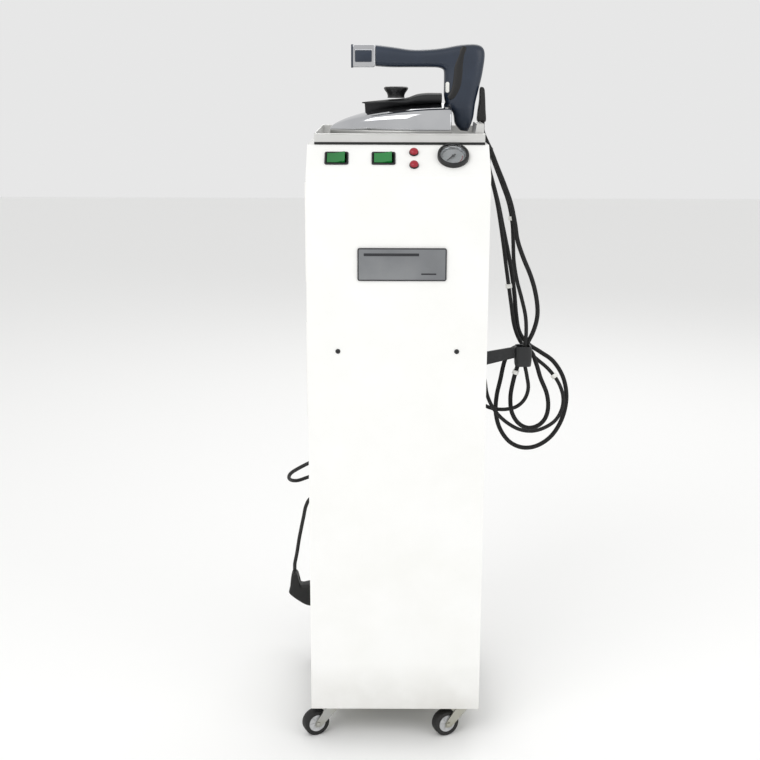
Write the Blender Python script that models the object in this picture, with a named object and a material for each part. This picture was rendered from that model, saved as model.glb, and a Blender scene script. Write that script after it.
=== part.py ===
"""A wheeled steam generator cabinet with a steam iron parked on its top tray.

Metres, +Z up.  The operator faces the front panel, which looks towards -Y; +X is on the
operator's right.  Everything hangs on one empty, "cabinet", that stands at the centre of the
cabinet on the floor, so each size below is measured from there.  The empty is set off so that
the world's origin is the middle of the whole footprint, casters and hose holder included.
Each moving piece has its origin, or the empty it hangs on, on its joint's axis.
"""

import math

import bmesh
import bpy
from mathutils import Vector

# ---- driving dimensions ------------------------------------------------------------------
GAP = 0.0003                    # clearance between pieces that touch
SHEET = 0.0015                  # cabinet sheet steel
WIDTH = 0.260                   # cabinet, left to right
DEPTH = 0.320                   # cabinet, front to back
FOLD_Z = 0.875                  # where the front panel folds back into the control strip
STRIP_RISE = 0.040              # height of the control strip
STRIP_TILT = math.radians(50)   # control strip, away from upright

CASTOR_INSET_X = 0.028          # swivel axis in from the cabinet's side
CASTOR_INSET_Y = 0.030          # swivel axis in from the cabinet's front or back
CASTOR_YAW = math.radians(25)   # every castor trails to the left, turned this much to the front
WHEEL_R = 0.0205
WHEEL_W = 0.017
TRAIL = 0.025                   # wheel axle behind the swivel axis
AXLE_R = 0.003
CASTOR_PLATE = 0.038
CASTOR_PLATE_T = 0.0025
CROWN_R, CROWN_T = 0.0155, 0.0067       # fork's crown, under the plate
CROWN_CLEAR = 0.0022            # crown above the wheel
CHEEK_T = 0.0020                # fork's cheeks
CHEEK_CLEAR = 0.0012            # cheek beside the wheel

TRAY_INSET_LEFT = 0.0100        # tray's ends in from the cabinet's sides
TRAY_INSET_RIGHT = 0.0055
TRAY_RIM = 0.0130               # rim height over the tray's floor
TRAY_BACK_MARGIN = 0.010
MAT_T = 0.0044
MAT_SIZE = (0.212, 0.150)
MAT_X = -0.006
HEEL_STOP = (0.0125, 0.075, 0.0270)
HEEL_STOP_Y = -0.058
HOSE_NOTCH = 0.014              # half width of the tray's notch for the hose

DOOR_HEIGHT = 0.342             # water compartment door on the left side
DOOR_DROP = 0.011               # door's top edge below the fold
DOOR_FRONT = 0.146              # door's free edge, in front of the cabinet's middle
DOOR_LENGTH = 0.262
DOOR_T = 0.002
DOOR_LAP = 0.013                # door beyond the opening on every side
FINGER_NOTCH = (0.010, 0.060)   # in the door's free edge: depth and height
HINGE_R = 0.003
TANK_T = 0.0025
TANK_SIZE = (0.095, 0.215, 0.265)
TANK_FRONT = 0.128

SWITCH_X = (-0.0874, -0.0208)   # rocker switches, left to right on the control strip
SWITCH_UP = 0.034               # their middle above the fold, along the strip
SWITCH_SIZE = (0.034, 0.025)
ROCKER_SIZE = (0.0252, 0.0186)
ROCKER_TILT = math.radians(8)   # each way
ROCKER_AXIS_DEPTH = 0.002
LAMP_X = 0.0223
LAMP_UP = (0.0205, 0.0457)
LAMP_R = 0.0068
GAUGE_X = 0.0780
GAUGE_R = 0.0225
GAUGE_MARGIN = 0.0017           # gauge below the strip's top edge
PLATE_SIZE = (0.127, 0.047)     # blank nameplate
PLATE_X, PLATE_T = 0.006, 0.0025
PLATE_DROP = 0.125              # nameplate's middle below the fold

BOILER_R = 0.062
BOILER_H = 0.300
BOILER_POS = (0.055, 0.050)
BOILER_WALL = 0.003
BOILER_LIFT = 0.062             # boiler's underside above the base pan
BOILER_NECK_R = 0.030
PUMP_SIZE = (0.062, 0.090, 0.052)
PUMP_HEAD = (0.030, 0.030, 0.020)       # outlet block on top of the pump
PUMP_POS = (-0.080, -0.070)
LOUVRES = 5                     # slots in the back cover
LOUVRE_HALF, LOUVRE_H = 0.050, 0.005
LOUVRE_PITCH = 0.016
LOUVRE_DROP = 0.115             # first slot below the cabinet's top

SOLE_T = 0.0100
IRON_TIP = -0.1014              # iron lies along X with its tip to the left
IRON_REAR = 0.0795
IRON_HALF = 0.055
IRON_RIDGE = 0.0396             # cover height at the rear
KNOB_X, KNOB_R, KNOB_H = -0.0020, 0.0182, 0.0200
HANDLE_HALF = 0.0165
CAP_LEFT = -0.0685
CAP_RIGHT = -0.0333
CAP_LOW, CAP_HIGH = 0.0899, 0.1224      # handle cap, above the cover's bottom edge
BUTTON_TRAVEL = 0.0025
BUTTON_SIZE = (0.0192, 0.0172, 0.0025)
BUTTON_GAP = 0.0004
BOOT_X = 0.1245
BOOT_REAR = 0.1330
BOOT_LOW, BOOT_HIGH = 0.0119, 0.0600    # cord boot, above the cover's bottom edge
COLUMN_X = 0.0717               # front of the handle's column where it passes the cover
SHIELD_REAR = 0.0660
KNOB_BASE = 0.0455              # underside of the knob, above the cover's bottom edge

HOSE_D = 0.0070
CABLE_D = 0.0060
MAINS_D = 0.0065
CORD_STEP = 2.7                 # diameters from one point of a cord's tube to the next
OUTLET_Y = 0.046
OUTLET_UP = 0.015               # outlet's underside above the fold
OUTLET_SIZE = (0.0180, 0.0220)
CUFF_X, CUFF_Z = 0.2005, 0.581
CUFF_H = 0.032
CUFF_OUT = (0.0135, 0.0130)
CUFF_IN = (0.0105, 0.0100)
ARM_T = 0.003
PEG_X, PEG_Z, PEG_R = 0.1985, 0.5800, 0.0045
PEG_END = 0.0260

GLAND_X, GLAND_Z = -0.060, 0.118
GLAND_LENGTH = 0.0225
COIL_X, COIL_Z = -0.050, 0.330
COIL_Y_OUT = 0.026              # middle of the coil behind the cabinet
COIL_R = 0.046                  # middle of its turns
COIL_HALF = 0.0075
HOLDER_R = 0.006
HOLDER_END = 0.045
DRAIN_X, DRAIN_Z = 0.060, 0.100
DRAIN_OUT = 0.020               # tap's spindle behind the cabinet
DRAIN_R = 0.0075
LEVER_SIZE = (0.044, 0.012, 0.003)
PIN_R, PIN_LENGTH = 0.0024, 0.0200      # pins of the mains plug
PIN_SPREAD = 0.0190
PLUG_Y, PLUG_T = 0.1900, 0.0240

# ---- sizes that follow ---------------------------------------------------------------------
STRIP_RUN = STRIP_RISE * math.tan(STRIP_TILT)
STRIP_LENGTH = STRIP_RISE / math.cos(STRIP_TILT)
GAUGE_UP = STRIP_LENGTH - GAUGE_MARGIN - GAUGE_R
CROWN_LOW = 2 * WHEEL_R + CROWN_CLEAR
CASTOR_PLATE_Z = CROWN_LOW + CROWN_T + GAP
BASE_Z = CASTOR_PLATE_Z + CASTOR_PLATE_T + GAP
TOP_Z = FOLD_Z + STRIP_RISE
FRONT_Y, BACK_Y = -DEPTH / 2, DEPTH / 2
STRIP_TOP_Y = FRONT_Y + STRIP_RUN
INSIDE_X = WIDTH / 2 - SHEET
INSIDE_BACK = BACK_Y - SHEET
TRAY_Z = TOP_Z + GAP
TRAY_FLOOR = TRAY_Z + SHEET
MAT_Z = TRAY_FLOOR + GAP
SOLE_Z = MAT_Z + MAT_T + GAP
COVER_Z = SOLE_Z + SOLE_T + GAP
PAN_TOP = BASE_Z + 2 * SHEET
TRAY_LEFT = WIDTH / 2 - TRAY_INSET_LEFT
TRAY_RIGHT = WIDTH / 2 - TRAY_INSET_RIGHT
PLATE_Z = FOLD_Z - PLATE_DROP
CHEEK = WHEEL_W / 2 + CHEEK_CLEAR
DOOR_BOTTOM = FOLD_Z - DOOR_DROP - DOOR_HEIGHT
CASTOR_X = WIDTH / 2 - CASTOR_INSET_X
CASTOR_Y = DEPTH / 2 - CASTOR_INSET_Y
LEFT_REACH = CASTOR_X + (TRAIL + WHEEL_R) * math.cos(CASTOR_YAW) + WHEEL_W / 2 * math.sin(CASTOR_YAW)
RIGHT_REACH = CUFF_X + CUFF_OUT[0]
CABINET_X = (LEFT_REACH - RIGHT_REACH) / 2
CABINET_Y = (PLATE_T - HOLDER_END) / 2


# ---- materials and objects -----------------------------------------------------------------
def finish(name, colour, roughness=0.5, metallic=0.0):
    """A plain Principled material, made once for each name."""
    made = bpy.data.materials.get(name)
    if made is None:
        made = bpy.data.materials.new(name)
        made.use_nodes = True
        shader = made.node_tree.nodes["Principled BSDF"]
        shader.inputs["Base Color"].default_value = (*colour, 1.0)
        shader.inputs["Roughness"].default_value = roughness
        shader.inputs["Metallic"].default_value = metallic
    return made


WHITE_PAINT = ("white_paint", (0.86, 0.86, 0.85), 0.35)
STAINLESS = ("stainless", (0.62, 0.62, 0.61), 0.30, 1.0)
CHROME = ("chrome", (0.75, 0.75, 0.76), 0.12, 1.0)
ZINC = ("zinc", (0.70, 0.71, 0.72), 0.35, 1.0)
BLACK_PLASTIC = ("black_plastic", (0.02, 0.02, 0.022), 0.45)
HANDLE_PLASTIC = ("handle_plastic", (0.045, 0.060, 0.085), 0.42)
GREEN_LENS = ("green_lens", (0.01, 0.28, 0.08), 0.25)
RED_LENS = ("red_lens", (0.55, 0.01, 0.03), 0.25)
RUBBER = ("rubber", (0.015, 0.015, 0.015), 0.70)
DARK_STEEL = ("dark_steel", (0.09, 0.09, 0.095), 0.45, 0.6)
SILICONE = ("silicone", (0.30, 0.30, 0.30), 0.60)
GLASS = ("glass", (0.85, 0.90, 0.90), 0.05)
BRASS = ("brass", (0.70, 0.50, 0.20), 0.30, 1.0)
TANK_PLASTIC = ("tank_plastic", (0.75, 0.80, 0.82), 0.40)


def link(thing, parent, location=(0, 0, 0), rotation=(0, 0, 0)):
    """Places an object under its parent and puts it in the scene."""
    bpy.context.scene.collection.objects.link(thing)
    thing.parent = parent
    thing.location = location
    thing.rotation_euler = rotation
    return thing


def empty(name, parent=None, location=(0, 0, 0), rotation=(0, 0, 0)):
    """An axis or a mounting point that other pieces hang on."""
    return link(bpy.data.objects.new(name, None), parent, location, rotation)


def piece(name, bm, colour, parent, location=(0, 0, 0), rotation=(0, 0, 0), smooth=True):
    """Turns a bmesh into one named object with its own finish."""
    mesh = bpy.data.meshes.new(name)
    bm.to_mesh(mesh)
    bm.free()
    mesh.materials.append(finish(*colour))
    if smooth:
        mesh.shade_smooth()
        mesh.set_sharp_from_angle(angle=math.radians(35))
    return link(bpy.data.objects.new(name, mesh), parent, location, rotation)


def combine(target, bm, operation, location=(0, 0, 0), rotation=(0, 0, 0)):
    """Cuts a shape out of a piece, or joins it on; the shape is placed beside the piece."""
    count = len(target.modifiers)
    tool = piece(f"{target.name}_tool_{count}", bm, BLACK_PLASTIC, target.parent, location, rotation)
    tool.hide_render = True
    tool.display_type = "WIRE"
    change = target.modifiers.new(f"{operation.lower()}_{count}", "BOOLEAN")
    change.operation = operation
    change.solver = "EXACT"
    change.object = tool
    return target


# ---- shapes ----------------------------------------------------------------------------------
def block(low, high):
    """A box between two corners."""
    bm = bmesh.new()
    bmesh.ops.create_cube(bm, size=1.0)
    low, high = Vector(low), Vector(high)
    for vert in bm.verts:
        vert.co = Vector(low[k] + (vert.co[k] + 0.5) * (high[k] - low[k]) for k in range(3))
    return bm


def slab(size, bottom):
    """A box of the given X and Y size and height, centred, standing at the given height."""
    x, y, z = size
    return block((-x / 2, -y / 2, bottom), (x / 2, y / 2, bottom + z))


def extruded(outline, start, end, plane="XZ"):
    """A flat outline in the named plane, carried along the remaining axis from start to end."""
    bm = bmesh.new()
    place = {"XZ": lambda a, b, c: (a, c, b), "YZ": lambda a, b, c: (c, a, b),
             "XY": lambda a, b, c: (a, b, c)}[plane]
    face = bm.faces.new([bm.verts.new(place(a, b, start)) for a, b in outline])
    grown = bmesh.ops.extrude_face_region(bm, geom=[face])
    moved = [item for item in grown["geom"] if isinstance(item, bmesh.types.BMVert)]
    bmesh.ops.translate(bm, verts=moved, vec=Vector(place(0, 0, end - start)))
    bmesh.ops.recalc_face_normals(bm, faces=bm.faces)
    return bm


def turned(profile, steps=24, ring=False):
    """A solid turned round Z from (radius, height) points; a ring's profile closes on itself."""
    bm = bmesh.new()
    verts = [bm.verts.new((radius, 0, height)) for radius, height in profile]
    ends = verts[1:] + verts[:1] if ring else verts[1:]
    edges = [bm.edges.new(pair) for pair in zip(verts, ends)]
    bmesh.ops.spin(bm, geom=verts + edges, cent=(0, 0, 0), axis=(0, 0, 1),
                   angle=math.tau, steps=steps, use_merge=True)
    bmesh.ops.remove_doubles(bm, verts=bm.verts, dist=1e-6)
    bmesh.ops.recalc_face_normals(bm, faces=bm.faces)
    return bm


def disc(radius, bottom, top, steps=24):
    """A round slab about Z."""
    return turned([(0, bottom), (radius, bottom), (radius, top), (0, top)], steps)


def lofted(sections):
    """A solid through closed sections that all have the same number of points."""
    bm = bmesh.new()
    rings = [[bm.verts.new(point) for point in section] for section in sections]
    for ring, after in zip(rings, rings[1:]):
        for k in range(len(ring)):
            bm.faces.new((ring[k - 1], ring[k], after[k], after[k - 1]))
    bm.faces.new(rings[0])
    bm.faces.new(rings[-1])
    bmesh.ops.recalc_face_normals(bm, faces=bm.faces)
    return bm


def smooth_route(points, spacing):
    """Points at an even spacing on the smooth (Catmull-Rom) curve through the route's own points.

    The first and the last stretch are straight, because a cord leaves its exit square to it.
    """
    knots = [Vector(point) for point in points]
    dense = []
    for p0, p1, p2, p3 in zip(knots, knots[1:], knots[2:], knots[3:]):
        for step in range(12):
            t = step / 12
            dense.append(0.5 * (2 * p1 + (p2 - p0) * t + (2 * p0 - 5 * p1 + 4 * p2 - p3) * t * t
                                + (3 * p1 - p0 - 3 * p2 + p3) * t ** 3))
    dense.append(knots[-2])
    total = sum((b - a).length for a, b in zip(dense, dense[1:]))
    count = max(2, round(total / spacing))
    even, walked, goal = [dense[0]], 0.0, 1
    for a, b in zip(dense, dense[1:]):
        length = (b - a).length
        while goal < count and walked + length >= goal * total / count:
            even.append(a.lerp(b, (goal * total / count - walked) / length))
            goal += 1
        walked += length
    return [knots[0], *even, dense[-1], knots[-1]]


def cord(name, points, diameter, parent):
    """A plain round tube along a route."""
    curve = bpy.data.curves.new(name, "CURVE")
    curve.dimensions = "3D"
    curve.bevel_depth = diameter / 2
    curve.bevel_resolution = 2
    curve.use_fill_caps = True
    line = smooth_route(points, CORD_STEP * diameter)
    spline = curve.splines.new("POLY")
    spline.points.add(len(line) - 1)
    for slot, point in zip(spline.points, line):
        slot.co = (*point, 1.0)
    curve.materials.append(finish(*RUBBER))
    return link(bpy.data.objects.new(name, curve), parent)


# ---- cabinet ---------------------------------------------------------------------------------
def front_line(inset):
    """The front panel's side view, this far inside its outer face, from the bottom to the top."""
    y = FRONT_Y + inset
    fold = (y, FOLD_Z - inset * math.tan(STRIP_TILT / 2))
    top = (fold[0] + (TOP_Z - fold[1]) * math.tan(STRIP_TILT), TOP_Z)
    return [(y, BASE_Z), fold, top]


def build_casing(cabinet):
    """Front panel, side panels, top plate, back cover and base pan."""
    outer, inner = front_line(0), front_line(SHEET)
    front = piece("front_panel", extruded(outer + inner[::-1], -WIDTH / 2, WIDTH / 2, "YZ"),
                  WHITE_PAINT, cabinet)
    strip = strip_frame(cabinet)
    for x in SWITCH_X:
        length, height = SWITCH_SIZE
        low, high = ((-length / 2 + 0.0015, -height / 2 + 0.0015), (length / 2 - 0.0015, height / 2 - 0.0015))
        cut_strip(front, strip, block((low[0], low[1], -0.01), (high[0], high[1], 0.01)), x, SWITCH_UP)
    for up in LAMP_UP:
        cut_strip(front, strip, disc(LAMP_R - 0.0010, -0.01, 0.01), LAMP_X, up)
    cut_strip(front, strip, disc(GAUGE_R - 0.0020, -0.01, 0.01, 32), GAUGE_X, GAUGE_UP)

    side = [*front_line(SHEET + GAP), (INSIDE_BACK - GAP, TOP_Z), (INSIDE_BACK - GAP, BASE_Z)]
    left = piece("left_side_panel", extruded(side, -WIDTH / 2, -INSIDE_X, "YZ"), WHITE_PAINT, cabinet)
    combine(left, block((-WIDTH / 2 - 0.01, -DOOR_FRONT + DOOR_LAP, DOOR_BOTTOM + DOOR_LAP),
                        (-INSIDE_X + 0.01, -DOOR_FRONT + DOOR_LENGTH - DOOR_LAP,
                         DOOR_BOTTOM + DOOR_HEIGHT - DOOR_LAP)), "DIFFERENCE")
    piece("right_side_panel", extruded(side, INSIDE_X, WIDTH / 2, "YZ"), WHITE_PAINT, cabinet)

    across = INSIDE_X - GAP
    piece("top_plate", block((-across, inner[-1][0] + GAP, TOP_Z - SHEET),
                             (across, INSIDE_BACK - GAP, TOP_Z)), WHITE_PAINT, cabinet)
    piece("base_pan", block((-across, FRONT_Y + SHEET + GAP, BASE_Z), (across, INSIDE_BACK - GAP, PAN_TOP)),
          ZINC, cabinet)
    back = piece("back_cover", block((-WIDTH / 2, INSIDE_BACK, BASE_Z), (WIDTH / 2, BACK_Y, TOP_Z)),
                 WHITE_PAINT, cabinet)
    for row in range(LOUVRES):
        z = TOP_Z - LOUVRE_DROP - row * LOUVRE_PITCH
        slot = block((-LOUVRE_HALF, INSIDE_BACK - 0.01, z), (LOUVRE_HALF, BACK_Y + 0.01, z + LOUVRE_H))
        combine(back, slot, "DIFFERENCE")


def strip_frame(cabinet):
    """An empty on the fold of the control strip: X right, Y up the strip, Z out of its face."""
    made = bpy.data.objects.get("control_strip")
    return made or empty("control_strip", cabinet, (0, FRONT_Y, FOLD_Z), (math.pi / 2 - STRIP_TILT, 0, 0))


def cut_strip(panel, strip, bm, x, up):
    """Cuts a hole in the control strip at a place given along the strip."""
    place = strip.rotation_euler.to_matrix() @ Vector((x, up, 0)) + strip.location
    combine(panel, bm, "DIFFERENCE", place, strip.rotation_euler)


def build_tray(cabinet):
    """Stainless drip tray with a heel stop and a notch for the hose, and the rest mat in it."""
    front, back = STRIP_TOP_Y, BACK_Y - TRAY_BACK_MARGIN
    tray = piece("tray", block((-TRAY_LEFT, front, TRAY_Z), (TRAY_RIGHT, back, TRAY_FLOOR + TRAY_RIM)),
                 STAINLESS, cabinet)
    combine(tray, block((-TRAY_LEFT + SHEET, front + SHEET, TRAY_FLOOR),
                        (TRAY_RIGHT - SHEET, back - SHEET, TRAY_FLOOR + 2 * TRAY_RIM)), "DIFFERENCE")
    length, width, height = HEEL_STOP
    right = TRAY_RIGHT - SHEET / 2
    wedge = [(right - length - 0.002, TRAY_FLOOR - SHEET / 2), (right, TRAY_FLOOR - SHEET / 2),
             (right, TRAY_FLOOR + height), (right - length + 0.002, TRAY_FLOOR + height)]
    combine(tray, extruded(wedge, HEEL_STOP_Y - width / 2, HEEL_STOP_Y + width / 2), "UNION")
    combine(tray, block((BOOT_X - 0.010, -HOSE_NOTCH, TRAY_Z - 0.01),
                        (TRAY_RIGHT + 0.01, HOSE_NOTCH, TRAY_FLOOR + 2 * TRAY_RIM)), "DIFFERENCE")
    piece("rest_mat", slab((*MAT_SIZE, MAT_T), MAT_Z), SILICONE, cabinet, (MAT_X, 0, 0))


def build_door(cabinet):
    """Door of the water compartment on the left side, on a full-height hinge at its rear edge."""
    outer = -WIDTH / 2 - GAP
    hinge_y = -DOOR_FRONT + DOOR_LENGTH + HINGE_R + 0.001
    hinge_x = outer - HINGE_R
    pin = disc(HINGE_R, DOOR_BOTTOM, DOOR_BOTTOM + DOOR_HEIGHT, 16)
    hinge = piece("door_hinge", pin, ZINC, cabinet, (hinge_x, hinge_y, 0))
    combine(hinge, block((outer - 0.0012, hinge_y, DOOR_BOTTOM),
                         (outer, hinge_y + 0.020, DOOR_BOTTOM + DOOR_HEIGHT)), "UNION")
    axis = empty("door_axis", cabinet, (hinge_x, hinge_y, 0))
    leaf = block((HINGE_R - DOOR_T, -DOOR_LENGTH - HINGE_R - 0.001, DOOR_BOTTOM),
                 (HINGE_R, -HINGE_R - 0.001, DOOR_BOTTOM + DOOR_HEIGHT))
    door = piece("tank_door", leaf, WHITE_PAINT, axis)
    depth, tall = FINGER_NOTCH
    edge = -DOOR_LENGTH - HINGE_R - 0.001
    middle = DOOR_BOTTOM + DOOR_HEIGHT / 2
    combine(door, block((-DOOR_T, edge - depth, middle - tall / 2), (2 * HINGE_R, edge + depth, middle + tall / 2)),
            "DIFFERENCE")


def build_water_tank(cabinet):
    """Open-topped water tank behind the door, on its shelf."""
    length, width, height = TANK_SIZE
    left = -INSIDE_X + 0.006
    shelf_z = DOOR_BOTTOM + DOOR_LAP - 2 * SHEET - GAP
    across = INSIDE_X - GAP
    piece("tank_shelf", block((-across, -TANK_FRONT - 0.012, shelf_z),
                              (left + length + 0.012, -TANK_FRONT + width + 0.010, shelf_z + 2 * SHEET)),
          ZINC, cabinet)
    bottom = shelf_z + 2 * SHEET + GAP
    low = Vector((left, -TANK_FRONT, bottom))
    high = Vector((left + length, -TANK_FRONT + width, bottom + height))
    wall = Vector((TANK_T, TANK_T, TANK_T))
    tank = piece("water_tank", block(low, high), TANK_PLASTIC, cabinet)
    inner_high = high - wall
    inner_high.z = high.z + 0.02
    combine(tank, block(low + wall, inner_high), "DIFFERENCE")


# ---- controls --------------------------------------------------------------------------------
def build_switch(strip, kind, x):
    """A snap-in frame with a box behind the panel, and the rocker that tilts in it."""
    length, height = SWITCH_SIZE
    wall = 0.0015
    shell = slab((length, height, 0.002), GAP)
    frame = piece(f"{kind}_switch_frame", shell, BLACK_PLASTIC, strip, (x, SWITCH_UP, 0))
    box = slab((length - 2 * wall - 2 * GAP, height - 2 * wall - 2 * GAP, 0.0155 + 2 * GAP), -0.0145)
    combine(frame, box, "UNION", (x, SWITCH_UP, 0))
    hollow = slab((ROCKER_SIZE[0] + 0.0028, ROCKER_SIZE[1] + 0.0008, 0.03), -0.0130)
    combine(frame, hollow, "DIFFERENCE", (x, SWITCH_UP, 0))
    half, across = ROCKER_SIZE[0] / 2, ROCKER_SIZE[1] / 2
    drop = ROCKER_AXIS_DEPTH
    outline = [(-half, 0.0040 + drop), (-half, drop), (-0.008, drop - 0.007), (0.008, drop - 0.007),
               (half, drop), (half, 0.0040 + drop), (half / 2, 0.0031 + drop), (0, 0.0027 + drop),
               (-half / 2, 0.0031 + drop)]
    axis = empty(f"{kind}_rocker_axis", strip, (x, SWITCH_UP, -drop), (0, -ROCKER_TILT, 0))
    piece(f"{kind}_rocker", extruded(outline, -across, across), GREEN_LENS, axis)


def build_lamp(strip, name, up):
    """An indicator lamp with a domed lens over its collar."""
    r = LAMP_R
    profile = [(0, -0.016), (r - 0.0015, -0.016), (r - 0.0015, GAP), (r, GAP), (r, 0.0040),
               (r * 0.86, 0.0056), (r * 0.45, 0.0066), (0, 0.0070)]
    piece(name, turned(profile, 20), RED_LENS, strip, (LAMP_X, up, 0))


def build_gauge(strip):
    """Pressure gauge: a case open to the front, the glass in its bezel and the needle on its pin."""
    r = GAUGE_R
    place = (GAUGE_X, GAUGE_UP, 0)
    case = [(0, -0.022), (r - 0.0025, -0.022), (r - 0.0025, GAP), (r, GAP), (r, 0.0050), (r - 0.0022, 0.0070),
            (r - 0.0034, 0.0070), (r - 0.0034, 0.0040), (r - 0.0046, 0.0040), (r - 0.0046, -0.0010),
            (0.0012, -0.0010), (0.0012, 0.0008), (0, 0.0008)]
    piece("gauge_case", turned(case, 32), BLACK_PLASTIC, strip, place)
    glass = [(0, 0.0040 + GAP), (r - 0.0037, 0.0040 + GAP), (r - 0.0037, 0.0058), (0, 0.0058)]
    piece("gauge_glass", turned(glass, 32), GLASS, strip, place)
    outline = [(-0.0040, -0.0012), (0.0130, -0.0004), (0.0130, 0.0004), (-0.0040, 0.0012)]
    axis = empty("gauge_axis", strip, place, (0, 0, math.radians(225)))
    piece("gauge_needle", extruded(outline, 0.0012, 0.0020, "XY"), BLACK_PLASTIC, axis)


def build_controls(cabinet):
    """Everything on the control strip, and the nameplate."""
    strip = strip_frame(cabinet)
    for kind, x in zip(("main", "iron"), SWITCH_X):
        build_switch(strip, kind, x)
    for name, up in zip(("power_lamp", "steam_lamp"), LAMP_UP):
        build_lamp(strip, name, up)
    build_gauge(strip)
    length, height = PLATE_SIZE
    piece("nameplate", block((-length / 2, -PLATE_T, -height / 2), (length / 2, -GAP, height / 2)),
          STAINLESS, cabinet, (PLATE_X, FRONT_Y, PLATE_Z))


# ---- inside ----------------------------------------------------------------------------------
def build_inside(cabinet):
    """Boiler with its heater and safety valve, pump and steam valve."""
    place = (*BOILER_POS, PAN_TOP + BOILER_LIFT)
    r, h, wall, neck = BOILER_R, BOILER_H, BOILER_WALL, BOILER_NECK_R
    shell = [(0, h), (r * 0.55, h * 0.985), (r * 0.90, h * 0.93), (r, h * 0.86), (r, h * 0.14), (r * 0.90, h * 0.07),
             (neck + wall, h * 0.02), (neck + wall, 0), (neck, 0), (neck, h * 0.035),
             (r * 0.90 - wall, h * 0.085), (r - wall, h * 0.145), (r - wall, h * 0.855),
             (r * 0.90 - wall, h * 0.918), (r * 0.55, h * 0.985 - wall), (0, h - wall)]
    piece("boiler", turned(shell, 28), STAINLESS, cabinet, place)
    flange = [(0, -0.0300), (neck * 0.55, -0.0300), (neck * 0.55, -0.0060), (neck + 0.010, -0.0060),
              (neck + 0.010, -GAP), (neck * 0.8, -GAP), (neck * 0.8, 0.004), (neck * 0.45, 0.010),
              (neck * 0.45, h * 0.6), (neck * 0.25, h * 0.6), (neck * 0.25, 0.012), (0, 0.012)]
    piece("heater", turned(flange, 20), BRASS, cabinet, place)
    top = (place[0] - r * 0.35, place[1], place[2] + h + GAP)
    valve = [(0, 0), (0.010, 0), (0.010, 0.012), (0.007, 0.014), (0.007, 0.030), (0.0095, 0.032),
             (0.0095, 0.040), (0, 0.040)]
    piece("safety_valve", turned(valve, 14), BRASS, cabinet, top)
    coil = piece("steam_valve", slab((0.030, 0.024, 0.026), 0), BRASS, cabinet,
                 (place[0] + r * 0.35, place[1], top[2]))
    combine(coil, slab((0.026, 0.034, 0.034), 0.025), "UNION", coil.location)
    pump = piece("pump", slab(PUMP_SIZE, PAN_TOP + GAP), BLACK_PLASTIC, cabinet, (*PUMP_POS, 0))
    combine(pump, slab(PUMP_HEAD, PAN_TOP + PUMP_SIZE[2]), "UNION", (PUMP_POS[0], PUMP_POS[1] + 0.020, 0))


# ---- back and right side -----------------------------------------------------------------------
def build_back(cabinet):
    """Mains gland, holder for the coiled lead, and the boiler's drain tap with its lever."""
    outward = (-math.pi / 2, 0, 0)
    gland = [(0, GAP), (0.0120, GAP), (0.0120, 0.0040), (0.0085, 0.0050), (0.0052, GLAND_LENGTH - GAP),
             (0, GLAND_LENGTH - GAP)]
    piece("cord_gland", turned(gland, 16), BLACK_PLASTIC, cabinet, (GLAND_X, BACK_Y, GLAND_Z), outward)
    holder = [(0, GAP), (0.014, GAP), (0.014, 0.003), (HOLDER_R, 0.003), (HOLDER_R, HOLDER_END - 0.005),
              (0.012, HOLDER_END - 0.005), (0.012, HOLDER_END), (0, HOLDER_END)]
    holder_z = COIL_Z + COIL_R - COIL_HALF - HOLDER_R - 2 * GAP
    piece("cord_peg", turned(holder, 16), BLACK_PLASTIC, cabinet, (COIL_X, BACK_Y, holder_z), outward)

    place = (DRAIN_X, BACK_Y, DRAIN_Z)
    end = DRAIN_OUT + 0.013
    body = [(0, GAP), (0.0110, GAP), (0.0110, 0.008), (DRAIN_R, 0.009), (DRAIN_R, end), (0, end)]
    tap = piece("drain_tap", turned(body, 16), BRASS, cabinet, place, outward)
    combine(tap, disc(0.0060, -0.012, 0.0, 14), "UNION", (DRAIN_X, BACK_Y + DRAIN_OUT + 0.005, DRAIN_Z))
    combine(tap, disc(0.0042, -0.001, 0.010, 14), "UNION", (DRAIN_X, BACK_Y + DRAIN_OUT, DRAIN_Z))
    axis = empty("drain_axis", cabinet, (DRAIN_X, BACK_Y + DRAIN_OUT, DRAIN_Z + 0.010 + GAP))
    length, width, thickness = LEVER_SIZE
    blade = block((-width / 2, -width / 2, 0), (length - width / 2, width / 2, thickness))
    piece("drain_lever", blade, RED_LENS, axis)


def build_hose_outlet(cabinet):
    """Moulded block high on the right side, from which the hose and the iron's cable leave."""
    wall = WIDTH / 2 + GAP
    low = FOLD_Z + OUTLET_UP
    depth, height = OUTLET_SIZE
    outline = [(wall, low), (wall + depth, low), (wall + depth, low + height / 2), (wall + depth / 2, low + height),
               (wall, low + height)]
    piece("hose_outlet", extruded(outline, OUTLET_Y - 0.016, OUTLET_Y + 0.016), BLACK_PLASTIC, cabinet)


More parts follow.
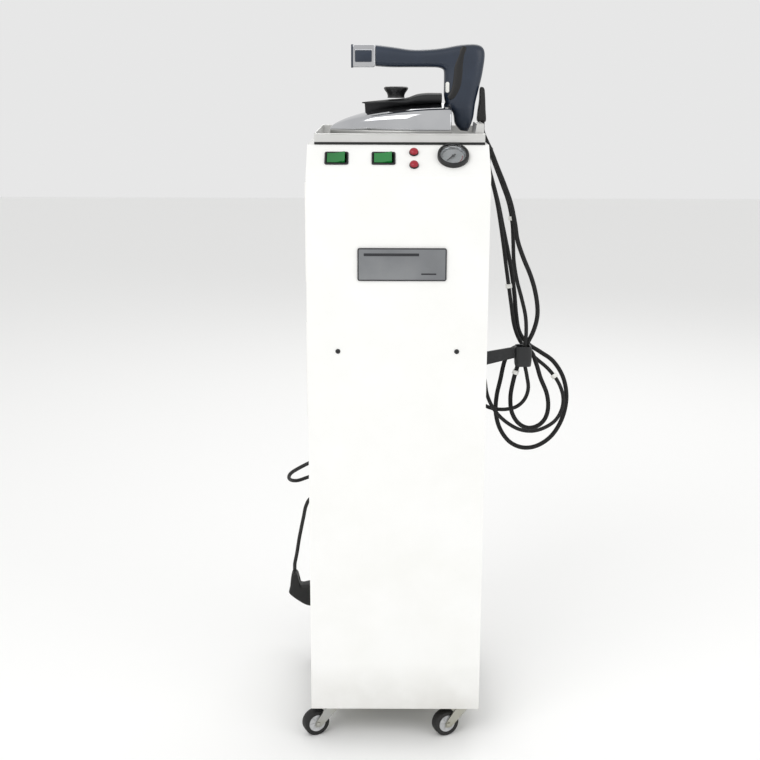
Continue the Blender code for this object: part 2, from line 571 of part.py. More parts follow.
def build_hose_holder(cabinet):
    """Arm on the right side with a peg that the loops hang on, and the cuff round the bundle."""
    wall = WIDTH / 2 + GAP
    foot = block((wall, -0.015, 0.552), (wall + 0.0025, 0.015, 0.598))
    arm = piece("hose_arm", foot, DARK_STEEL, cabinet)
    tip = CUFF_X - CUFF_OUT[0] - GAP
    bar = [(wall + 0.001, 0.5630), (tip, 0.5770), (tip, 0.5950), (wall + 0.001, 0.5850)]
    combine(arm, extruded(bar, -ARM_T / 2, ARM_T / 2), "UNION")
    x, y = CUFF_OUT
    cuff = piece("hose_cuff", slab((2 * x, 2 * y, CUFF_H), -CUFF_H / 2), DARK_STEEL, cabinet, (CUFF_X, 0, CUFF_Z))
    combine(cuff, disc(PEG_R, 0, PEG_END - y + 0.001, 12), "UNION", (PEG_X, y - 0.001, PEG_Z), (-math.pi / 2, 0, 0))
    combine(cuff, slab((2 * CUFF_IN[0], 2 * CUFF_IN[1], 2 * CUFF_H), -CUFF_H), "DIFFERENCE", (CUFF_X, 0, CUFF_Z))


# ---- castors ---------------------------------------------------------------------------------
def build_castor(cabinet, side, x, y):
    """Plate, swivelling fork with its axle, and the wheel; the fork's own +X points to the wheel."""
    piece(f"castor_plate_{side}", slab((CASTOR_PLATE, CASTOR_PLATE, CASTOR_PLATE_T), CASTOR_PLATE_Z),
          ZINC, cabinet, (x, y, 0))
    swivel = empty(f"castor_swivel_{side}", cabinet, (x, y, 0), (0, 0, math.pi + CASTOR_YAW))
    fork = piece(f"castor_fork_{side}", disc(CROWN_R, CROWN_LOW, CROWN_LOW + CROWN_T, 16), ZINC, swivel)
    top = CROWN_LOW + 0.001
    outline = [(-0.0120, top), (0.0130, top), (TRAIL + 0.0055, WHEEL_R + 0.002),
               (TRAIL + 0.0045, WHEEL_R - 0.0045), (TRAIL - 0.0045, WHEEL_R - 0.0050)]
    for sign in (-1, 1):
        edges = sorted((sign * CHEEK, sign * (CHEEK + CHEEK_T)))
        combine(fork, extruded(outline, *edges), "UNION")
    combine(fork, disc(AXLE_R, -CHEEK - CHEEK_T / 2, CHEEK + CHEEK_T / 2, 12), "UNION",
            (TRAIL, 0, WHEEL_R), (math.pi / 2, 0, 0))
    r, w, bore = WHEEL_R, WHEEL_W / 2, AXLE_R + GAP
    tyre = [(bore, -w), (r * 0.45, -w), (r * 0.70, -w + 0.002), (r * 0.88, -w), (r, -w + 0.0025), (r, w - 0.0025),
            (r * 0.88, w), (r * 0.70, w - 0.002), (r * 0.45, w), (bore, w)]
    piece(f"castor_wheel_{side}", turned(tyre, 24, ring=True), RUBBER, swivel,
          (TRAIL, 0, WHEEL_R), (math.pi / 2, 0, 0))


# ---- iron ------------------------------------------------------------------------------------
def iron_half_width(t):
    """Half the iron's width at a share t of the way from its tip to its rear."""
    return IRON_HALF * math.sin(min(1.0, t / 0.8) * math.pi / 2) ** 0.75


def iron_ridge(t):
    """Height of the cover's ridge above its own bottom edge at a share t from the tip."""
    return IRON_RIDGE * math.sin(max(t, 0.004) * math.pi / 2) ** 0.6


def iron_x(t):
    """Place along the iron at a share t from its tip."""
    return IRON_TIP + t * (IRON_REAR - IRON_TIP)


def build_sole(iron):
    """Sole plate: the iron's plan, a little wider than the cover."""
    shares = [0.004, 0.05, 0.12, 0.22, 0.34, 0.48, 0.62, 0.8, 1.0]
    edge = [(iron_x(t), iron_half_width(t) + 0.001) for t in shares]
    outline = edge + [(x, -y) for x, y in edge[::-1]]
    piece("sole_plate", extruded(outline, -SOLE_T - GAP, -GAP, "XY"), STAINLESS, iron)


def build_cover(iron):
    """Polished cover: upright sides under a low ridged roof, notched where the handle stands."""
    sections = []
    for t in [0.02, 0.06, 0.12, 0.22, 0.34, 0.48, 0.62, 0.8, 1.0]:
        x, w, top = iron_x(t), iron_half_width(t), iron_ridge(t)
        side = [(x, -w, 0), (x, -w * 0.98, top * 0.60), (x, -w * 0.60, top * 0.88)]
        mirrored = [(x, -y, z) for x, y, z in side[::-1]]
        sections.append([*side, (x, 0, top), *mirrored])
    cover = piece("iron_cover", lofted(sections), CHROME, iron)
    side = HANDLE_HALF + GAP
    combine(cover, block((COLUMN_X - GAP, -side, -SHEET), (IRON_REAR + SHEET, side, 2 * IRON_RIDGE)), "DIFFERENCE")


def build_heat_shield(iron):
    """Black guard over the cover's ridge, with an overhanging pointed lip in front."""
    lip = 0.0022
    tops = [(-0.0530, 0.0392, 0.002), (-0.0440, 0.0402, 0.010), (-0.0330, 0.0413, 0.016), (-0.0130, 0.0432, 0.024),
            (0.0150, 0.0452, 0.028), (0.0300, 0.0510, 0.030), (0.0450, 0.0528, 0.030), (SHIELD_REAR, 0.0528, 0.030)]
    sections = []
    for x, rise, w in tops:
        ridge = iron_ridge((x - IRON_TIP) / (IRON_REAR - IRON_TIP))
        low = max(ridge + 2 * GAP, rise - lip if x < -0.05 else 0)
        sections.append([(x, -w, low), (x, w, low), (x, w * 0.85, rise), (x, -w * 0.85, rise)])
    piece("heat_shield", lofted(sections), BLACK_PLASTIC, iron)


def build_knob(iron):
    """Thermostat knob, flared towards its top."""
    profile = [(0, 0), (0.0130, 0), (0.0128, 0.004), (KNOB_R * 0.90, 0.010), (KNOB_R, 0.0145),
               (KNOB_R * 0.97, 0.0160), (KNOB_R * 0.80, KNOB_H - 0.0035), (0, KNOB_H - 0.0035)]
    axis = empty("knob_axis", iron, (KNOB_X, 0, KNOB_BASE))
    piece("thermostat_knob", turned(profile, 24), BLACK_PLASTIC, axis)


def handle_ribs():
    """The handle's side view, inner and outer edge in turn, from its cap down to its heel.

    Places are (x, height above the cover's bottom edge).
    """
    return [((-0.0330, 0.0914), (-0.0330, 0.1224)), ((-0.0100, 0.0901), (-0.0100, 0.1199)),
            ((0.0200, 0.0901), (0.0200, 0.1159)), ((0.0450, 0.0901), (0.0450, 0.1161)),
            ((0.0600, 0.0897), (0.0680, 0.1184)), ((0.0672, 0.0874), (0.0950, 0.1229)),
            ((0.0692, 0.0839), (0.1200, 0.1229)), ((0.0696, 0.0759), (0.1295, 0.1119)),
            ((0.0696, 0.0629), (0.1270, 0.0829)), ((0.0700, 0.0479), (0.1215, 0.0579)),
            ((0.0735, 0.0359), (0.1170, 0.0379)), ((0.0835, 0.0239), (0.1145, 0.0179)),
            ((0.0870, 0.0079), (0.1110, 0.0059)), ((0.0950, -0.0021), (0.1070, -0.0031))]


def build_handle(iron):
    """Grip bar and rear column in one moulding, its cap, steam button and cord boot."""
    halves = [HANDLE_HALF] * 11 + [HANDLE_HALF * 0.9, HANDLE_HALF * 0.8, HANDLE_HALF * 0.55]
    sections = []
    for (inner, outer), half in zip(handle_ribs(), halves):
        middle = Vector(((inner[0] + outer[0]) / 2, 0, (inner[1] + outer[1]) / 2))
        reach = Vector(((outer[0] - inner[0]) / 2, 0, (outer[1] - inner[1]) / 2))
        ring = []
        for k in range(12):
            angle = math.tau * (k + 0.5) / 12
            c, s = math.cos(angle), math.sin(angle)
            along = math.copysign(abs(c) ** 0.6, c)
            across = math.copysign(abs(s) ** 0.6, s)
            ring.append(middle + reach * along + Vector((0, half * across, 0)))
        sections.append(ring)
    piece("iron_handle", lofted(sections), HANDLE_PLASTIC, iron)

    half = HANDLE_HALF + GAP
    cap = piece("handle_cap", block((CAP_LEFT, -half, CAP_LOW), (CAP_RIGHT, half, CAP_HIGH)), CHROME, iron)
    length, height, thickness = BUTTON_SIZE
    pocket = block((-length / 2 - BUTTON_GAP, -2 * thickness, -height / 2 - BUTTON_GAP),
                   (length / 2 + BUTTON_GAP, thickness + BUTTON_TRAVEL + 2 * BUTTON_GAP, height / 2 + BUTTON_GAP))
    centre = ((CAP_LEFT + CAP_RIGHT) / 2, -half, (CAP_LOW + CAP_HIGH) / 2)
    combine(cap, pocket, "DIFFERENCE", centre)
    axis = empty("button_axis", iron, centre)
    piece("steam_button", block((-length / 2, BUTTON_GAP, -height / 2),
                                (length / 2, BUTTON_GAP + thickness, height / 2)), HANDLE_PLASTIC, axis)

    outline = [(BOOT_X + 0.002, BOOT_HIGH), (BOOT_REAR - 0.003, BOOT_HIGH), (BOOT_REAR, BOOT_LOW),
               (BOOT_X - 0.004, BOOT_LOW), (BOOT_X - 0.001, (BOOT_LOW + BOOT_HIGH) / 2)]
    piece("cord_boot", extruded(outline, -0.0125, 0.0125), BLACK_PLASTIC, iron)


# ---- cords -----------------------------------------------------------------------------------
# Routes in the cabinet's own frame: chosen points, each tube being the smooth curve through them.
HOSE_ROUTE = [
    (0.1280, -0.0060, 0.9437), (0.1280, -0.0060, 0.9310), (0.1330, -0.0060, 0.9180), (0.1415, -0.0060, 0.9010),
    (0.1520, -0.0060, 0.8760), (0.1640, -0.0060, 0.8480), (0.1745, -0.0060, 0.8200), (0.1815, -0.0060, 0.7900),
    (0.1862, -0.0060, 0.7640), (0.1960, -0.0055, 0.7370), (0.2082, -0.0045, 0.7090), (0.2165, -0.0025, 0.6830),
    (0.2212, 0.0000, 0.6560), (0.2205, 0.0025, 0.6360), (0.2150, 0.0040, 0.6160), (0.2060, 0.0045, 0.5970),
    (0.1985, 0.0050, 0.5790), (0.1925, 0.0062, 0.5600), (0.1872, 0.0080, 0.5370), (0.1838, 0.0100, 0.5110),
    (0.1865, 0.0115, 0.4860), (0.1970, 0.0125, 0.4675), (0.2130, 0.0135, 0.4585), (0.2300, 0.0145, 0.4620),
    (0.2415, 0.0155, 0.4745), (0.2455, 0.0165, 0.4930), (0.2425, 0.0182, 0.5150), (0.2320, 0.0200, 0.5400),
    (0.2250, 0.0213, 0.5620), (0.2160, 0.0220, 0.5820), (0.1990, 0.0223, 0.5910), (0.1815, 0.0226, 0.5830),
    (0.1735, 0.0230, 0.5640), (0.1685, 0.0238, 0.5370), (0.1630, 0.0246, 0.5080), (0.1625, 0.0253, 0.4800),
    (0.1700, 0.0262, 0.4530), (0.1860, 0.0271, 0.4310), (0.2080, 0.0280, 0.4208), (0.2320, 0.0290, 0.4240),
    (0.2550, 0.0300, 0.4410), (0.2710, 0.0313, 0.4700), (0.2768, 0.0330, 0.5040), (0.2705, 0.0350, 0.5370),
    (0.2540, 0.0372, 0.5630), (0.2330, 0.0390, 0.5780), (0.2130, 0.0398, 0.5910), (0.1985, 0.0403, 0.6100),
    (0.1925, 0.0408, 0.6380), (0.1885, 0.0416, 0.6740), (0.1830, 0.0426, 0.7100), (0.1755, 0.0442, 0.7450),
    (0.1680, 0.0460, 0.7780), (0.1600, 0.0483, 0.8140), (0.1505, 0.0510, 0.8480), (0.1425, 0.0530, 0.8760),
    (0.1425, 0.0530, 0.8897)]
CABLE_ROUTE = [
    (0.1280, 0.0060, 0.9437), (0.1280, 0.0060, 0.9310), (0.1325, 0.0060, 0.9180), (0.1405, 0.0060, 0.9010),
    (0.1505, 0.0060, 0.8760), (0.1618, 0.0060, 0.8480), (0.1722, 0.0062, 0.8200), (0.1785, 0.0064, 0.7900),
    (0.1808, 0.0062, 0.7600), (0.1826, 0.0050, 0.7300), (0.1880, 0.0020, 0.7000), (0.1958, -0.0015, 0.6720),
    (0.2022, -0.0040, 0.6450), (0.2040, -0.0052, 0.6180), (0.2022, -0.0055, 0.5950), (0.2025, -0.0055, 0.5720),
    (0.2070, -0.0055, 0.5500), (0.2100, -0.0050, 0.5290), (0.2050, -0.0040, 0.5110), (0.1930, -0.0030, 0.4985),
    (0.1770, -0.0015, 0.4935), (0.1600, 0.0010, 0.4930), (0.1460, 0.0075, 0.4955), (0.1385, 0.0175, 0.4995),
    (0.1367, 0.0295, 0.5055), (0.1362, 0.0385, 0.5150), (0.1363, 0.0418, 0.5280), (0.1370, 0.0380, 0.5415),
    (0.1378, 0.0280, 0.5510), (0.1386, 0.0145, 0.5545), (0.1396, 0.0010, 0.5505), (0.1412, -0.0085, 0.5390),
    (0.1445, -0.0135, 0.5200), (0.1530, -0.0145, 0.5010),
    (0.1650, -0.0130, 0.4850), (0.1810, -0.0120, 0.4715), (0.1990, -0.0100, 0.4620), (0.2200, -0.0065, 0.4590),
    (0.2400, -0.0020, 0.4640), (0.2570, 0.0035, 0.4750), (0.2670, 0.0090, 0.4930), (0.2680, 0.0140, 0.5130),
    (0.2600, 0.0190, 0.5340), (0.2450, 0.0245, 0.5530), (0.2270, 0.0290, 0.5680), (0.2110, 0.0308, 0.5820),
    (0.1975, 0.0315, 0.6000), (0.1885, 0.0318, 0.6240), (0.1835, 0.0320, 0.6540), (0.1785, 0.0325, 0.6860),
    (0.1735, 0.0333, 0.7180), (0.1685, 0.0344, 0.7520), (0.1630, 0.0356, 0.7860), (0.1570, 0.0368, 0.8180),
    (0.1495, 0.0380, 0.8480), (0.1425, 0.0390, 0.8760), (0.1425, 0.0390, 0.8897)]
MAINS_START = [
    (-0.0600, 0.1825, 0.1180), (-0.0600, 0.1950, 0.1180), (-0.0600, 0.2085, 0.1205), (-0.0603, 0.2190, 0.1295),
    (-0.0610, 0.2245, 0.1430), (-0.0625, 0.2250, 0.1640), (-0.0645, 0.2225, 0.1980), (-0.0685, 0.2180, 0.2340), (-0.0745, 0.2170, 0.2680),
    (-0.0850, 0.2165, 0.2950), (-0.1000, 0.2165, 0.3110), (-0.1190, 0.2175, 0.3160), (-0.1380, 0.2185, 0.3115),
    (-0.1560, 0.2180, 0.3050), (-0.1710, 0.2140, 0.3010), (-0.1820, 0.2040, 0.3045), (-0.1860, 0.1910, 0.3140),
    (-0.1810, 0.1800, 0.3260), (-0.1650, 0.1745, 0.3380), (-0.1420, 0.1745, 0.3500), (-0.1130, 0.1800, 0.3625),
    (-0.0930, 0.1840, 0.3695)]
MAINS_TAIL = [
    (-0.0700, 0.1860, 0.2765), (-0.0870, 0.1855, 0.2795), (-0.1050, 0.1830, 0.2860), (-0.1220, 0.1805, 0.2890),
    (-0.1370, 0.1790, 0.2860), (-0.1490, 0.1785, 0.2780), (-0.1560, 0.1790, 0.2640), (-0.1600, 0.1810, 0.2450),
    (-0.1645, 0.1835, 0.2230), (-0.1690, 0.1865, 0.2000), (-0.1735, 0.1890, 0.1720), (-0.1778, 0.1900, 0.1500),
    (-0.1780, 0.1900, 0.1361)]


def build_cords(cabinet):
    """Hose and cable of the iron, and the mains lead with its hung coil and its plug."""
    cord("steam_hose", HOSE_ROUTE, HOSE_D, cabinet)
    cord("iron_cable", CABLE_ROUTE, CABLE_D, cabinet)
    cord("mains_lead_start", MAINS_START, MAINS_D, cabinet)
    cord("mains_lead_tail", MAINS_TAIL, MAINS_D, cabinet)
    r, half = COIL_R, COIL_HALF
    ring = [(r - half, -half), (r + half, -half), (r + half, half), (r - half, half)]
    piece("mains_coil", turned(ring, 32, ring=True), RUBBER, cabinet,
          (COIL_X, BACK_Y + COIL_Y_OUT, COIL_Z), (math.pi / 2, 0, 0))
    outline = [(-0.1832, 0.1358), (-0.1728, 0.1358), (-0.1712, 0.1200), (-0.1640, 0.1130), (-0.1430, 0.1130),
               (-0.1430, 0.0770), (-0.1587, 0.0748), (-0.1875, 0.0951)]
    plug = piece("mains_plug", extruded(outline, PLUG_Y - PLUG_T / 2, PLUG_Y + PLUG_T / 2), RUBBER, cabinet)
    for side in (PLUG_Y - PIN_SPREAD / 2, PLUG_Y + PIN_SPREAD / 2):
        combine(plug, disc(PIN_R, 0, PIN_LENGTH, 10), "UNION", (-0.1440, side, 0.0950), (0, math.pi / 2, 0))


def main():
    """Builds the whole object in an empty scene."""
    for thing in list(bpy.data.objects):
        bpy.data.objects.remove(thing, do_unlink=True)
    cabinet = empty("cabinet", None, (CABINET_X, CABINET_Y, 0))
    build_casing(cabinet)
    build_tray(cabinet)
    build_door(cabinet)
    build_water_tank(cabinet)
    build_controls(cabinet)
    build_inside(cabinet)
    build_back(cabinet)
    build_hose_outlet(cabinet)
    build_hose_holder(cabinet)
    for end, y in (("front", -CASTOR_Y), ("rear", CASTOR_Y)):
        for side, x in (("left", -CASTOR_X), ("right", CASTOR_X)):
            build_castor(cabinet, f"{end}_{side}", x, y)
    iron = empty("iron_frame", cabinet, (0, 0, COVER_Z))
    build_sole(iron)
    build_cover(iron)
    build_heat_shield(iron)
    build_knob(iron)
    build_handle(iron)
    build_cords(cabinet)


main()
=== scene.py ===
"""Looks of a wheeled steam generator cabinet with a steam iron parked on its top tray.

Metres, +Z up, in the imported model's own frame.  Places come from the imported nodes' boxes, and
each sub-assembly is a class that builds its surfaces with numpy and dresses them.
"""
import logging
import math
from dataclasses import dataclass
from enum import Enum

import bpy
import numpy as np
from mathutils import Matrix, Vector


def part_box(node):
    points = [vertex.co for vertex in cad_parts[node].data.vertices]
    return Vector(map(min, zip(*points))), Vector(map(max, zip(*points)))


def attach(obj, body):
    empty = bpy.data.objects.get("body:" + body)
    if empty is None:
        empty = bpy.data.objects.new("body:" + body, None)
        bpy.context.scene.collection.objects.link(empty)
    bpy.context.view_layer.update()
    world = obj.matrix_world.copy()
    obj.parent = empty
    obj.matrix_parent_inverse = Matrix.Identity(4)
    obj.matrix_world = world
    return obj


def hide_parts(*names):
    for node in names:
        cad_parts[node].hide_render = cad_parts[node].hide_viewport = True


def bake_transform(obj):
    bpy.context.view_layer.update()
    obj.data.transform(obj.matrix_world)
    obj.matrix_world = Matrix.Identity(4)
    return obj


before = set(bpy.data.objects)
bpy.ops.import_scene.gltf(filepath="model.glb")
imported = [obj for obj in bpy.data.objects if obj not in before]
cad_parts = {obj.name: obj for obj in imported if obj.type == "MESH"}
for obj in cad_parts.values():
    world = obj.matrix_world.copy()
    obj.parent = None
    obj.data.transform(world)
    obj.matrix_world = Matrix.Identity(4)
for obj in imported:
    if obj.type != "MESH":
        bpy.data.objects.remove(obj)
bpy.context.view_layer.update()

LOG = logging.getLogger("steam_cabinet")
Array = np.ndarray
Link = bpy.types.NodeSocket
STRIP_RISE = 0.040         # height of the sloping control strip
PANEL_GAP = 0.0003         # clearance that the solid model leaves between touching pieces
TRAY_RIM = 0.0130          # the tray's rim over its floor
LINE_STRETCH = 0.02        # brushed lines are 50 times as long as they are wide
GLOSS_SWING = 0.06         # roughness varies this much either way
LEAST_ROUGHNESS = 0.02
DRIFT_SCALE = 14.0         # blotches of about 70 mm
DARKEN_TOP = 0.13            # the darkening has faded out at this height
DARKEN_FULL = 0.05           # and is full below this one
BRAID_SCALE = 0.32         # waves to a thread, as a wave texture counts them
CASTORS = ("front_left", "front_right", "rear_left", "rear_right")


# ---- finishes ------------------------------------------------------------------------------
def linear(code: str) -> tuple[float, float, float, float]:
    """Turns an sRGB hex colour into linear RGBA.

    Args:
        code: six hex digits.

    Returns:
        Linear red, green, blue and an alpha of 1.
    """
    parts = [int(code[k:k + 2], 16) / 255 for k in (0, 2, 4)]
    return (*[c / 12.92 if c <= 0.04045 else ((c + 0.055) / 1.055) ** 2.4 for c in parts], 1.0)


def add(tree: bpy.types.NodeTree, kind: str, settings: dict | None = None,
        inputs: dict | None = None) -> bpy.types.Node:
    """Adds a node with its settings, its values and its links.

    Args:
        tree: the node tree it goes into.
        kind: the node's type, such as "ShaderNodeBump".
        settings: its own properties.
        inputs: a value or a socket to link for each of its inputs.

    Returns:
        The new node.
    """
    node = tree.nodes.new(kind)
    for key, value in (settings or {}).items():
        setattr(node, key, value)
    for key, value in (inputs or {}).items():
        if isinstance(value, Link):
            tree.links.new(value, node.inputs[key])
        else:
            node.inputs[key].default_value = value
    return node


class Grain(Enum):
    """How a surface was made, which sets the pattern of its relief."""

    SPRAYED = "sprayed"      # round, soft orange peel
    BRUSHED = "brushed"      # long fine lines one way
    MOULDED = "moulded"      # fine even sparkle of a spark-eroded mould
    POLISHED = "polished"    # faint large waves
    BRAIDED = "braided"      # crossing threads that follow the cord


@dataclass(frozen=True)
class Finish:
    """One real material: its two close colours, its gloss and its relief.

    Attributes:
        name: what it is and how it was made.
        colour: main colour, sRGB hex.
        shade: second colour that it drifts towards, sRGB hex.
        roughness: middle roughness; it varies a little round this.
        grain: the pattern of the relief.
        grain_mm: real size of one grain, line or thread.
        relief_mm: height of the relief.
    """

    name: str
    colour: str
    shade: str
    roughness: float
    grain: Grain
    grain_mm: float
    relief_mm: float
    metallic: float = 0.0
    coat: float = 0.0
    transmission: float = 0.0
    ior: float = 1.5
    low_darkening: float = 0.0

    def material(self) -> bpy.types.Material:
        """Makes the procedural material, once.

        Returns:
            The material.
        """
        made = bpy.data.materials.get(self.name)
        if made is not None:
            return made
        made = bpy.data.materials.new(self.name)
        made.use_nodes = True
        tree = made.node_tree
        shader = tree.nodes["Principled BSDF"]
        place = add(tree, "ShaderNodeTexCoord")
        source = place.outputs["UV" if self.grain is Grain.BRAIDED else "Object"]
        per_metre = 1000.0 / self.grain_mm
        lengthwise = per_metre * LINE_STRETCH if self.grain is Grain.BRUSHED else per_metre
        placed = add(tree, "ShaderNodeMapping", None,
                     {"Vector": source, "Scale": (lengthwise, per_metre, per_metre)})
        if self.grain is Grain.BRAIDED:
            height = self.braid(tree, placed.outputs["Vector"])
        else:
            height = add(tree, "ShaderNodeTexNoise", None,
                         {"Vector": placed.outputs["Vector"], "Scale": 1.0, "Detail": 3.0}).outputs["Fac"]
        drift = add(tree, "ShaderNodeTexNoise", None,
                    {"Vector": place.outputs["Object"], "Scale": DRIFT_SCALE, "Detail": 5.0}).outputs["Fac"]
        spread = add(tree, "ShaderNodeMapRange", None,
                     {"Value": drift, "From Min": 0.35, "From Max": 0.68}).outputs["Result"]
        mixed = add(tree, "ShaderNodeMix", {"data_type": "RGBA"},
                    {0: spread, 6: linear(self.colour), 7: linear(self.shade)}).outputs[2]
        # Greys the panel unevenly towards its bottom edge, darker lower down.
        if self.low_darkening:
            mixed = self.darken_low(tree, place.outputs["Object"], drift, mixed)
        if self.grain is Grain.BRAIDED:
            # The colour falls to 0.45 of itself where the braid's height is low: painted shade in the grooves
            # between the threads.
            groove_shade = add(tree, "ShaderNodeMapRange", None,
                          {"Value": height, "To Min": 0.45, "To Max": 1.0}).outputs["Result"]
            mixed = add(tree, "ShaderNodeMix", {"data_type": "RGBA", "blend_type": "MULTIPLY"},
                        {0: 1.0, 6: mixed, 7: groove_shade}).outputs[2]
        tree.links.new(mixed, shader.inputs["Base Color"])
        gloss = add(tree, "ShaderNodeMapRange", None,
                    {"Value": height, "To Min": max(LEAST_ROUGHNESS, self.roughness - GLOSS_SWING),
                     "To Max": self.roughness + GLOSS_SWING}).outputs["Result"]
        tree.links.new(gloss, shader.inputs["Roughness"])
        bump = add(tree, "ShaderNodeBump", None,
                   {"Height": height, "Strength": 0.6, "Distance": self.relief_mm / 1000})
        tree.links.new(bump.outputs["Normal"], shader.inputs["Normal"])
        shader.inputs["Metallic"].default_value = self.metallic
        shader.inputs["Coat Weight"].default_value = self.coat
        shader.inputs["Transmission Weight"].default_value = self.transmission
        if not self.metallic:
            shader.inputs["IOR"].default_value = self.ior
        return made

    @staticmethod
    def braid(tree: bpy.types.NodeTree, vector: Link) -> Link:
        """Height of a braid: the higher of two sets of threads that cross at right angles.

        Args:
            tree: the material's nodes.
            vector: place on the cord, in threads.

        Returns:
            The height, from 0 to 1.
        """
        first = add(tree, "ShaderNodeTexWave", {"bands_direction": "DIAGONAL"},
                    {"Vector": vector, "Scale": BRAID_SCALE})
        turned = add(tree, "ShaderNodeMapping", None, {"Vector": vector, "Scale": (-1.0, 1.0, 1.0)})
        second = add(tree, "ShaderNodeTexWave", {"bands_direction": "DIAGONAL"},
                     {"Vector": turned.outputs["Vector"], "Scale": BRAID_SCALE})
        return add(tree, "ShaderNodeMath", {"operation": "MAXIMUM"},
                   {0: first.outputs["Fac"], 1: second.outputs["Fac"]}).outputs["Value"]

    def darken_low(self, tree: bpy.types.NodeTree, vector: Link, drift: Link, clean: Link) -> Link:
        """Greys the lowest 80 mm of a panel, unevenly, so that it is darker towards the bottom.

        Args:
            tree: the material's nodes.
            vector: place in metres.
            drift: the slow noise that makes it uneven.
            clean: the colour without the greying.

        Returns:
            The greyed colour.
        """
        height = add(tree, "ShaderNodeSeparateXYZ", None, {0: vector}).outputs["Z"]
        low = add(tree, "ShaderNodeMapRange", None,
                  {"Value": height, "From Min": DARKEN_TOP, "From Max": DARKEN_FULL,
                   "To Max": self.low_darkening}).outputs["Result"]
        patchy = add(tree, "ShaderNodeMath", {"operation": "MULTIPLY"}, {0: low, 1: drift}).outputs["Value"]
        return add(tree, "ShaderNodeMix", {"data_type": "RGBA"},
                   {0: patchy, 6: clean, 7: linear("8C877D")}).outputs[2]


# Epoxy powder coat on sheet steel: white, glossy, with a soft orange peel.
POWDER_COAT = Finish("white_powder_coat", "F3F3F1", "F0F0ED", 0.30, Grain.SPRAYED, 2.2, 0.05, coat=0.15,
                     low_darkening=0.5)
# Rolled stainless sheet, brushed one way: streaked grey highlights.
BRUSHED_STAINLESS = Finish("brushed_stainless", "B9B9B6", "A9A9A7", 0.30, Grain.BRUSHED, 0.5, 0.015,
                           metallic=1.0)
# Rolled stainless of the tray, brushed then buffed: brighter, so that it reads nearly white in front.
BUFFED_STAINLESS = Finish("buffed_stainless", "E2E2E0", "D6D6D3", 0.34, Grain.BRUSHED, 0.5, 0.012,
                          metallic=0.85)
# Bright chrome plate on pressed steel: a mirror with faint waves from the pressing.
CHROME = Finish("polished_chrome", "C9CACC", "BDBEC1", 0.07, Grain.POLISHED, 30.0, 0.05, metallic=1.0)
# Zinc plated steel: pale, slightly yellow and blotchy.
ZINC = Finish("zinc_plate", "B9BABB", "A8A696", 0.36, Grain.SPRAYED, 3.0, 0.02, metallic=1.0)
# Moulded ABS, satin black.
BLACK_ABS = Finish("black_moulded_abs", "0C0C0D", "121214", 0.42, Grain.MOULDED, 0.7, 0.04)
# Moulded nylon grip, very dark blue-grey with a satin skin.
GRIP_NYLON = Finish("grip_moulded_nylon", "1C2635", "232E3F", 0.36, Grain.MOULDED, 0.9, 0.05, coat=0.1)
# Phenolic heat shield: black, dull, a little brown where it is warm.
PHENOLIC = Finish("phenolic_moulding", "0D0E10", "16171A", 0.58, Grain.MOULDED, 0.8, 0.05)
# Tinted polycarbonate, moulded smooth.
GREEN_LENS = Finish("green_polycarbonate", "0B7A32", "086A2A", 0.20, Grain.POLISHED, 12.0, 0.02,
                    coat=0.15, ior=1.58)
RED_LENS = Finish("red_polycarbonate", "A80024", "8E001D", 0.34, Grain.POLISHED, 12.0, 0.02, ior=1.58)
# Black vinyl sheath of a mains lead.
VINYL_SHEATH = Finish("black_vinyl_sheath", "090909", "0F0F0F", 0.56, Grain.MOULDED, 1.0, 0.04)
# Polyester braid over a silicone hose; threads are drawn at 1.1 mm so that they show.
HOSE_BRAID = Finish("polyester_braid", "0B0B0C", "141415", 0.74, Grain.BRAIDED, 1.1, 0.16)
# Solid rubber tyre, dusty.
TYRE_RUBBER = Finish("castor_tyre_rubber", "0E0E0E", "1E1D1C", 0.66, Grain.MOULDED, 0.8, 0.08)
# Grey nylon wheel centre.
HUB_NYLON = Finish("hub_moulded_nylon", "C9CACB", "B6B7B8", 0.40, Grain.MOULDED, 1.0, 0.04)
# Silicone rest mat, matt grey.
SILICONE = Finish("grey_silicone", "8E9092", "7F8183", 0.62, Grain.MOULDED, 1.0, 0.06)
# Painted strap steel.
PAINTED_STEEL = Finish("dark_painted_steel", "1A1B1D", "232426", 0.40, Grain.SPRAYED, 1.5, 0.04)
# Turned brass fittings.
BRASS = Finish("turned_brass", "B99654", "A07F45", 0.28, Grain.BRUSHED, 0.4, 0.02, metallic=1.0)
# Blow-moulded polyethylene tank: milky.
POLYETHYLENE = Finish("milky_polyethylene", "DCE3E6", "CDD6DA", 0.38, Grain.POLISHED, 8.0, 0.08,
                      transmission=0.25)
# Gauge window.
WINDOW_GLASS = Finish("window_glass", "FFFFFF", "FAFFFF", 0.03, Grain.POLISHED, 20.0, 0.0, transmission=1.0,
                      ior=1.45)
# Printed dial card, satin grey.
DIAL_CARD = Finish("grey_dial_card", "B9BABC", "ACADB0", 0.55, Grain.MOULDED, 0.6, 0.01)
# Nylon cable tie.
TIE_NYLON = Finish("white_tie_nylon", "F0F0EC", "E2E2DD", 0.38, Grain.MOULDED, 0.8, 0.03)
# Anodised nameplate, left blank.
NAMEPLATE = Finish("anodised_nameplate", "8D8F91", "7D7F82", 0.38, Grain.BRUSHED, 0.45, 0.012, metallic=0.7)
# Dark anodised edge and bar of the nameplate.
DARK_ANODISED = Finish("dark_anodised_aluminium", "2C2D30", "3A3B3E", 0.40, Grain.BRUSHED, 0.45, 0.01,
                       metallic=0.5)

